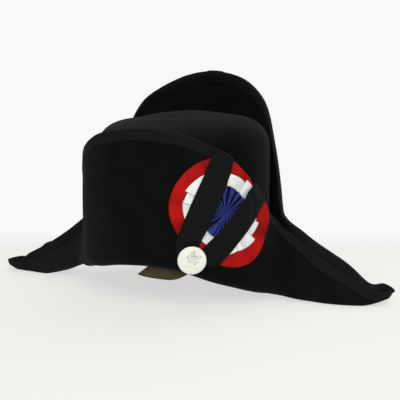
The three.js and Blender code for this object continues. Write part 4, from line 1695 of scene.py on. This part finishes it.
@dataclass
class Button:
    """Domed button with a thin rim and a plain relief of short strokes."""

    face: FlapFace
    arc: float = -32.7
    z: float = 57.0
    seat: float = 5.0
    shank: Point = (4.0, 2.6)
    radius: float = 14.05
    rim: float = 2.4
    dome: float = 4.2
    back_round: float = 1.2
    rim_round: float = 0.6
    segments: int = 96
    marks: int = 34
    mark_seed: int = 4
    mark_lean: float = 1.2
    mark_wear: Point = (0.3, 1.3)
    mark_step: float = 1.22
    mark_size: Point = (1.05, 0.55)
    field_up: float = 4.2
    finish: ButtonFinish = ButtonFinish()

    BALL = {"Segments": 12, "Rings": 8, "Radius": 1.0}
    GOLDEN_ANGLE = math.pi * (3 - math.sqrt(5))

    def profile(self) -> list[tuple[float, float, float]]:
        """Outline of half the button, from the middle of the back round to the middle of the top.

        Returns:
            Radius, height and shade of each point.
        """
        r, rim, dome, back, lip = self.radius, self.rim, self.dome, self.back_round, self.rim_round
        wide, deep = self.shank
        # The back and shank get painted shade
        made = [(0.0, -deep, 0.0), (wide, -deep, 0.6), (wide, 0.0, 0.6), (r - back, 0.0, 0.6)]
        made += [(r - back + back * math.sin(t), back - back * math.cos(t), 0.4)
                 for t in np.linspace(0.2, math.pi / 2, 6)]
        made += [(r - lip + lip * math.cos(t), rim - 0.5 + lip * math.sin(t), 0.0)
                 for t in np.linspace(0.0, math.pi / 2, 6)]
        # The dome turns greyer towards its edge
        for share in np.linspace(0.95, 0.0, 20)[:-1]:
            made.append((r * share, mix(dome, rim + 0.1, share ** 2), 0.12 * smooth(share, 0.8, 1.0)))
        return [*made, (0.0, dome, 0.0)]

    def body(self) -> bpy.types.Mesh:
        """Turned body with its back at the origin and its face along +Z.

        Returns:
            The mesh in metres.
        """
        made = bmesh.new()
        shade = made.verts.layers.float.new(FOLD_SHADE)
        rings = []
        for r, h, dark in self.profile():
            count = self.segments if r else 1
            ring = []
            for k in range(count):
                t = 2 * math.pi * k / self.segments
                vert = made.verts.new((r * math.cos(t) * MM, r * math.sin(t) * MM, h * MM))
                vert[shade] = dark
                ring.append(vert)
            rings.append(ring)
        for low, high in zip(rings, rings[1:]):
            for k in range(self.segments):
                n = (k + 1) % self.segments
                corners = [low[k % len(low)], low[n % len(low)], high[n % len(high)], high[k % len(high)]]
                made.faces.new(list(dict.fromkeys(corners)))
        bmesh.ops.recalc_face_normals(made, faces=made.faces)
        mesh = bpy.data.meshes.new("button_body")
        made.to_mesh(mesh)
        made.free()
        return mesh

    def relief(self) -> Recipe:
        """Group that adds a field of short strokes of uneven size, with painted shade, to the button's face.

        Returns:
            The group.
        """
        made = Recipe("stroke_relief", {"Body": "Geometry", "Marks": "Int", "Seed": "Int", "Step": "Float",
                                        "Length": "Float", "Width": "Float", "Dome": "Float",
                                        "Reach": "Float", "Up": "Float", "Finish": "Material"})
        body, marks, seed, step, length, width, dome, reach, up, finish = made.given.values()
        index = made.node("GeometryNodeInputIndex")
        spread = (index + 0.5) ** 0.5 * step
        turn = index * self.GOLDEN_ANGLE
        x, y = (turn + math.pi / 2).sine() * spread, turn.sine() * spread + up
        fall = dome - (x * x + y * y) * (reach ** -2.0) * dome * 0.25
        place = made.node("ShaderNodeCombineXYZ", inputs={"X": x, "Y": y, "Z": fall})
        points = made.node("GeometryNodePoints", inputs={"Count": marks, "Position": place})
        ball = made.node("GeometryNodeMeshUVSphere", inputs=self.BALL)
        size = made.node("ShaderNodeCombineXYZ", inputs={"X": width, "Y": length, "Z": width * 0.8})
        small = made.node("GeometryNodeTransform", inputs={"Geometry": ball, "Scale": size})
        # Each stroke gets full painted shade
        toned = made.node("GeometryNodeStoreNamedAttribute", {"data_type": "FLOAT", "domain": "POINT"},
                         {"Geometry": small, "Name": FOLD_SHADE, "Value": 1.0})
        lean = made.drawn(-self.mark_lean, self.mark_lean, seed)
        wear = made.drawn(*self.mark_wear, seed + 1.0)
        row = made.node("GeometryNodeInstanceOnPoints",
                        inputs={"Points": points, "Instance": toned, "Scale": wear,
                                "Rotation": made.turn(Z=lean)})
        both = made.node("GeometryNodeJoinGeometry", inputs={0: [body, row]})
        made.end(both, finish)
        return made

    def build(self) -> list[bpy.types.Object]:
        """Makes the button on the ribbon.

        Returns:
            The button.
        """
        cream = self.finish.material()
        mesh = self.relief().made_from("button_body", self.body(), {
            "Marks": self.marks, "Seed": self.mark_seed, "Step": self.mark_step * MM,
            "Length": self.mark_size[0] * MM, "Width": self.mark_size[1] * MM,
            "Dome": self.dome * MM, "Reach": self.radius * MM, "Up": self.field_up * MM,
            "Finish": cream})
        arc, z = np.array([self.arc]), np.array([self.z])
        place = row_metres(self.face.at(arc, z, np.array([self.seat]))[0])
        normal = Vector(self.face.normal(arc, z)[0])
        turn = Vector((0, 0, 1)).rotation_difference(normal).to_matrix().to_4x4()
        mesh.transform(Matrix.Translation(place) @ turn)
        return [dress("button_cream", mesh, cream, "button")]


# Sweatband

@dataclass
class Sweatband:
    """Band inside the crown's base; its free end hangs out under the front fold."""

    shape: BrimShape
    sewing: Sewing
    wall: float = 1.2
    height: float = 38.0
    hang: float = 3.0
    slant: float = 1.25
    slant_z: float = 46.0
    tab_deg: float = 40.0
    tab_x: float = 18.0
    tab_z: float = 29.6
    tab_left: Point = (0.0, 33.6)
    tab_right: Point = (40.0, 39.0)
    air: float = 0.5
    lap_deg: float = 6.0
    lap_rise: float = 1.5
    lap_span: Point = (350, 359)
    seam_up: float = 2.0
    stitch_rise: float = 0.05
    columns: int = 360
    rows: int = 14
    flat: Point = (0.046, 0.59)
    finish: BandFinish = BandFinish()
    thread: ThreadFinish = ThreadFinish("olive_thread", (0.09, 0.08, 0.04))
    stitch: Stitch = Stitch(pitch=4.5, length=3.0)
    seed: int = 7

    def low_edge(self, x: np.ndarray, start: np.ndarray, base: np.ndarray) -> np.ndarray:
        """Height of the band's lower edge.

        Args:
            x: Places along X.
            start: True on the free end's stretch.
            base: Heights of the head opening's rim.

        Returns:
            One height for each place.
        """
        off = x - self.tab_x
        left = (self.tab_left[1] - self.tab_z) * (off / (self.tab_left[0] - self.tab_x)) ** 2
        right = (self.tab_right[1] - self.tab_z) * (off / (self.tab_right[0] - self.tab_x)) ** 2
        tab = self.tab_z + np.where(off < 0, left, right)
        return np.where(start, np.minimum(tab, base - self.hang), base - self.hang)

    def build(self) -> list[bpy.types.Object]:
        """Makes the band and the stitches that hold it.

        Returns:
            The band and its row of stitches.
        """
        crown = self.shape.crown
        start = math.degrees(self.tab_left[0] / crown.half_width)
        turn = np.linspace(start, 360.0 + self.lap_deg, self.columns)
        angle = np.radians(turn - 90.0)
        lap = self.lap_rise * smooth(turn, *self.lap_span)
        inset = self.shape.wall / 2 + self.air + self.wall / 2 + lap
        x = (crown.half_width - inset) * np.cos(angle)
        y = (crown.half_depth - inset) * np.sin(angle)
        base = crown.base_z(turn - 90.0)
        free = turn < self.tab_deg
        low = self.low_edge(x, free, base)
        share = np.linspace(0.0, 1.0, self.rows)[None, :]
        z = mix(low[:, None], (base + self.height)[:, None], share)
        lean = crown.taper * np.clip((z - crown.side_z) / (crown.shoulder_z - crown.side_z), 0, 1)
        slanted = free * (1 - smooth(x, self.tab_left[0], self.tab_x))
        skew = self.slant * np.maximum(0.0, self.slant_z - z) * slanted[:, None]
        points = np.stack([x[:, None] * (1 - lean / crown.half_width) - skew,
                           y[:, None] * (1 - lean / crown.half_depth), z], axis=-1)
        mesh = cloth_mesh("sweatband_cloth", [ClothGrid(points)], self.wall)
        band = dress("sweatband_cloth", mesh, self.finish.material(), "sweatband")
        seam = np.stack([x, y, base + self.seam_up], axis=-1)
        seam[:, :2] *= 1 - (self.wall / 2 + self.stitch_rise) / crown.half_width
        thread = self.thread.material()
        row = self.sewing.sew("band_stitches", seam, thread, "sweatband", self.seed, self.stitch)
        return [band, row]


# Studio

@dataclass(frozen=True)
class Lamp:
    """Square soft light: where it hangs, what it points at, its side in metres and its power in watts."""

    name: str
    place: Place
    aim: Place
    size: float
    power: float

    def build(self) -> None:
        """Hangs the light."""
        data = bpy.data.lights.new(self.name, "AREA")
        data.size = self.size
        data.energy = self.power
        lamp = placed(self.name, data)
        lamp.location = self.place
        lamp.rotation_euler = (Vector(self.aim) - Vector(self.place)).to_track_quat("-Z", "Y").to_euler()


@dataclass
class Studio:
    """Pale floor, soft light from above and the camera at the photo's angle."""

    azimuth: float = 20.0
    elevation: float = 9.0
    distance: float = 0.900
    target: Place = (0.01578, 0.00874, 0.09665)
    lens: float = 73.17
    sensor: float = 36.0
    nearest: float = 0.01
    backdrop: Colour = (0.94, 0.94, 0.955)
    sky: float = 0.40
    floor: FloorFinish = FloorFinish()
    floor_radius: float = 3.0
    floor_sides: int = 96
    lamps: tuple[Lamp, ...] = (Lamp("overhead", (0.25, 0.80, 1.45), (0.0, 0.0, 0.0), 1.6, 10.0),
                               Lamp("front", (0.72, -1.45, 1.15), (0.0, 0.0, 0.1), 1.5, 38.0))

    def world(self) -> None:
        """Backdrop at its own brightness, with a dimmer sky for the light."""
        made = bpy.data.worlds.new("studio")
        made.use_nodes = True
        bpy.context.scene.world = made
        graph = Graph(made.node_tree)
        seen = graph.node("ShaderNodeLightPath", out="Is Camera Ray")
        strength = seen * (1.0 - self.sky) + self.sky
        colour = (*self.backdrop, 1.0)
        light = graph.node("ShaderNodeBackground", inputs={"Color": colour, "Strength": strength})
        graph.node("ShaderNodeOutputWorld", inputs={"Surface": light})

    def camera(self) -> None:
        """Places the camera on its angles round the target."""
        data = bpy.data.cameras.new("camera")
        data.sensor_width = self.sensor
        data.lens = self.lens
        data.clip_start = self.nearest
        camera = placed("camera", data)
        a, e = math.radians(self.azimuth), math.radians(self.elevation)
        away = Vector((math.sin(a) * math.cos(e), -math.cos(a) * math.cos(e), math.sin(e)))
        camera.location = Vector(self.target) + away * self.distance
        camera.rotation_euler = (-away).to_track_quat("-Z", "Y").to_euler()
        bpy.context.scene.camera = camera

    def build(self) -> None:
        """Makes the floor, the light and the camera."""
        made = bmesh.new()
        bmesh.ops.create_circle(made, cap_ends=True, segments=self.floor_sides, radius=self.floor_radius)
        mesh = bpy.data.meshes.new("floor")
        made.to_mesh(mesh)
        made.free()
        mesh.materials.append(self.floor.material())
        floor = placed("floor", mesh)
        bpy.context.scene.view_settings.view_transform = "Standard"
        self.world()
        for lamp in self.lamps:
            lamp.build()
        self.camera()


def main() -> None:
    """Builds the hat, then its studio, and reports each piece."""
    logging.basicConfig(level=logging.INFO)
    felt = FeltBody()
    sewing = Sewing()
    face = FlapFace(felt.shape)
    makers = (felt, EdgeBinding(felt, sewing), Cockade(face), CockadeLoop(face), Button(face),
              Sweatband(felt.shape, sewing))
    for maker in makers:
        for piece in maker.build():
            LOG.info("%s: %d faces", piece.name, len(piece.data.polygons))
    Studio().build()


if __name__ == "__main__":
    main()
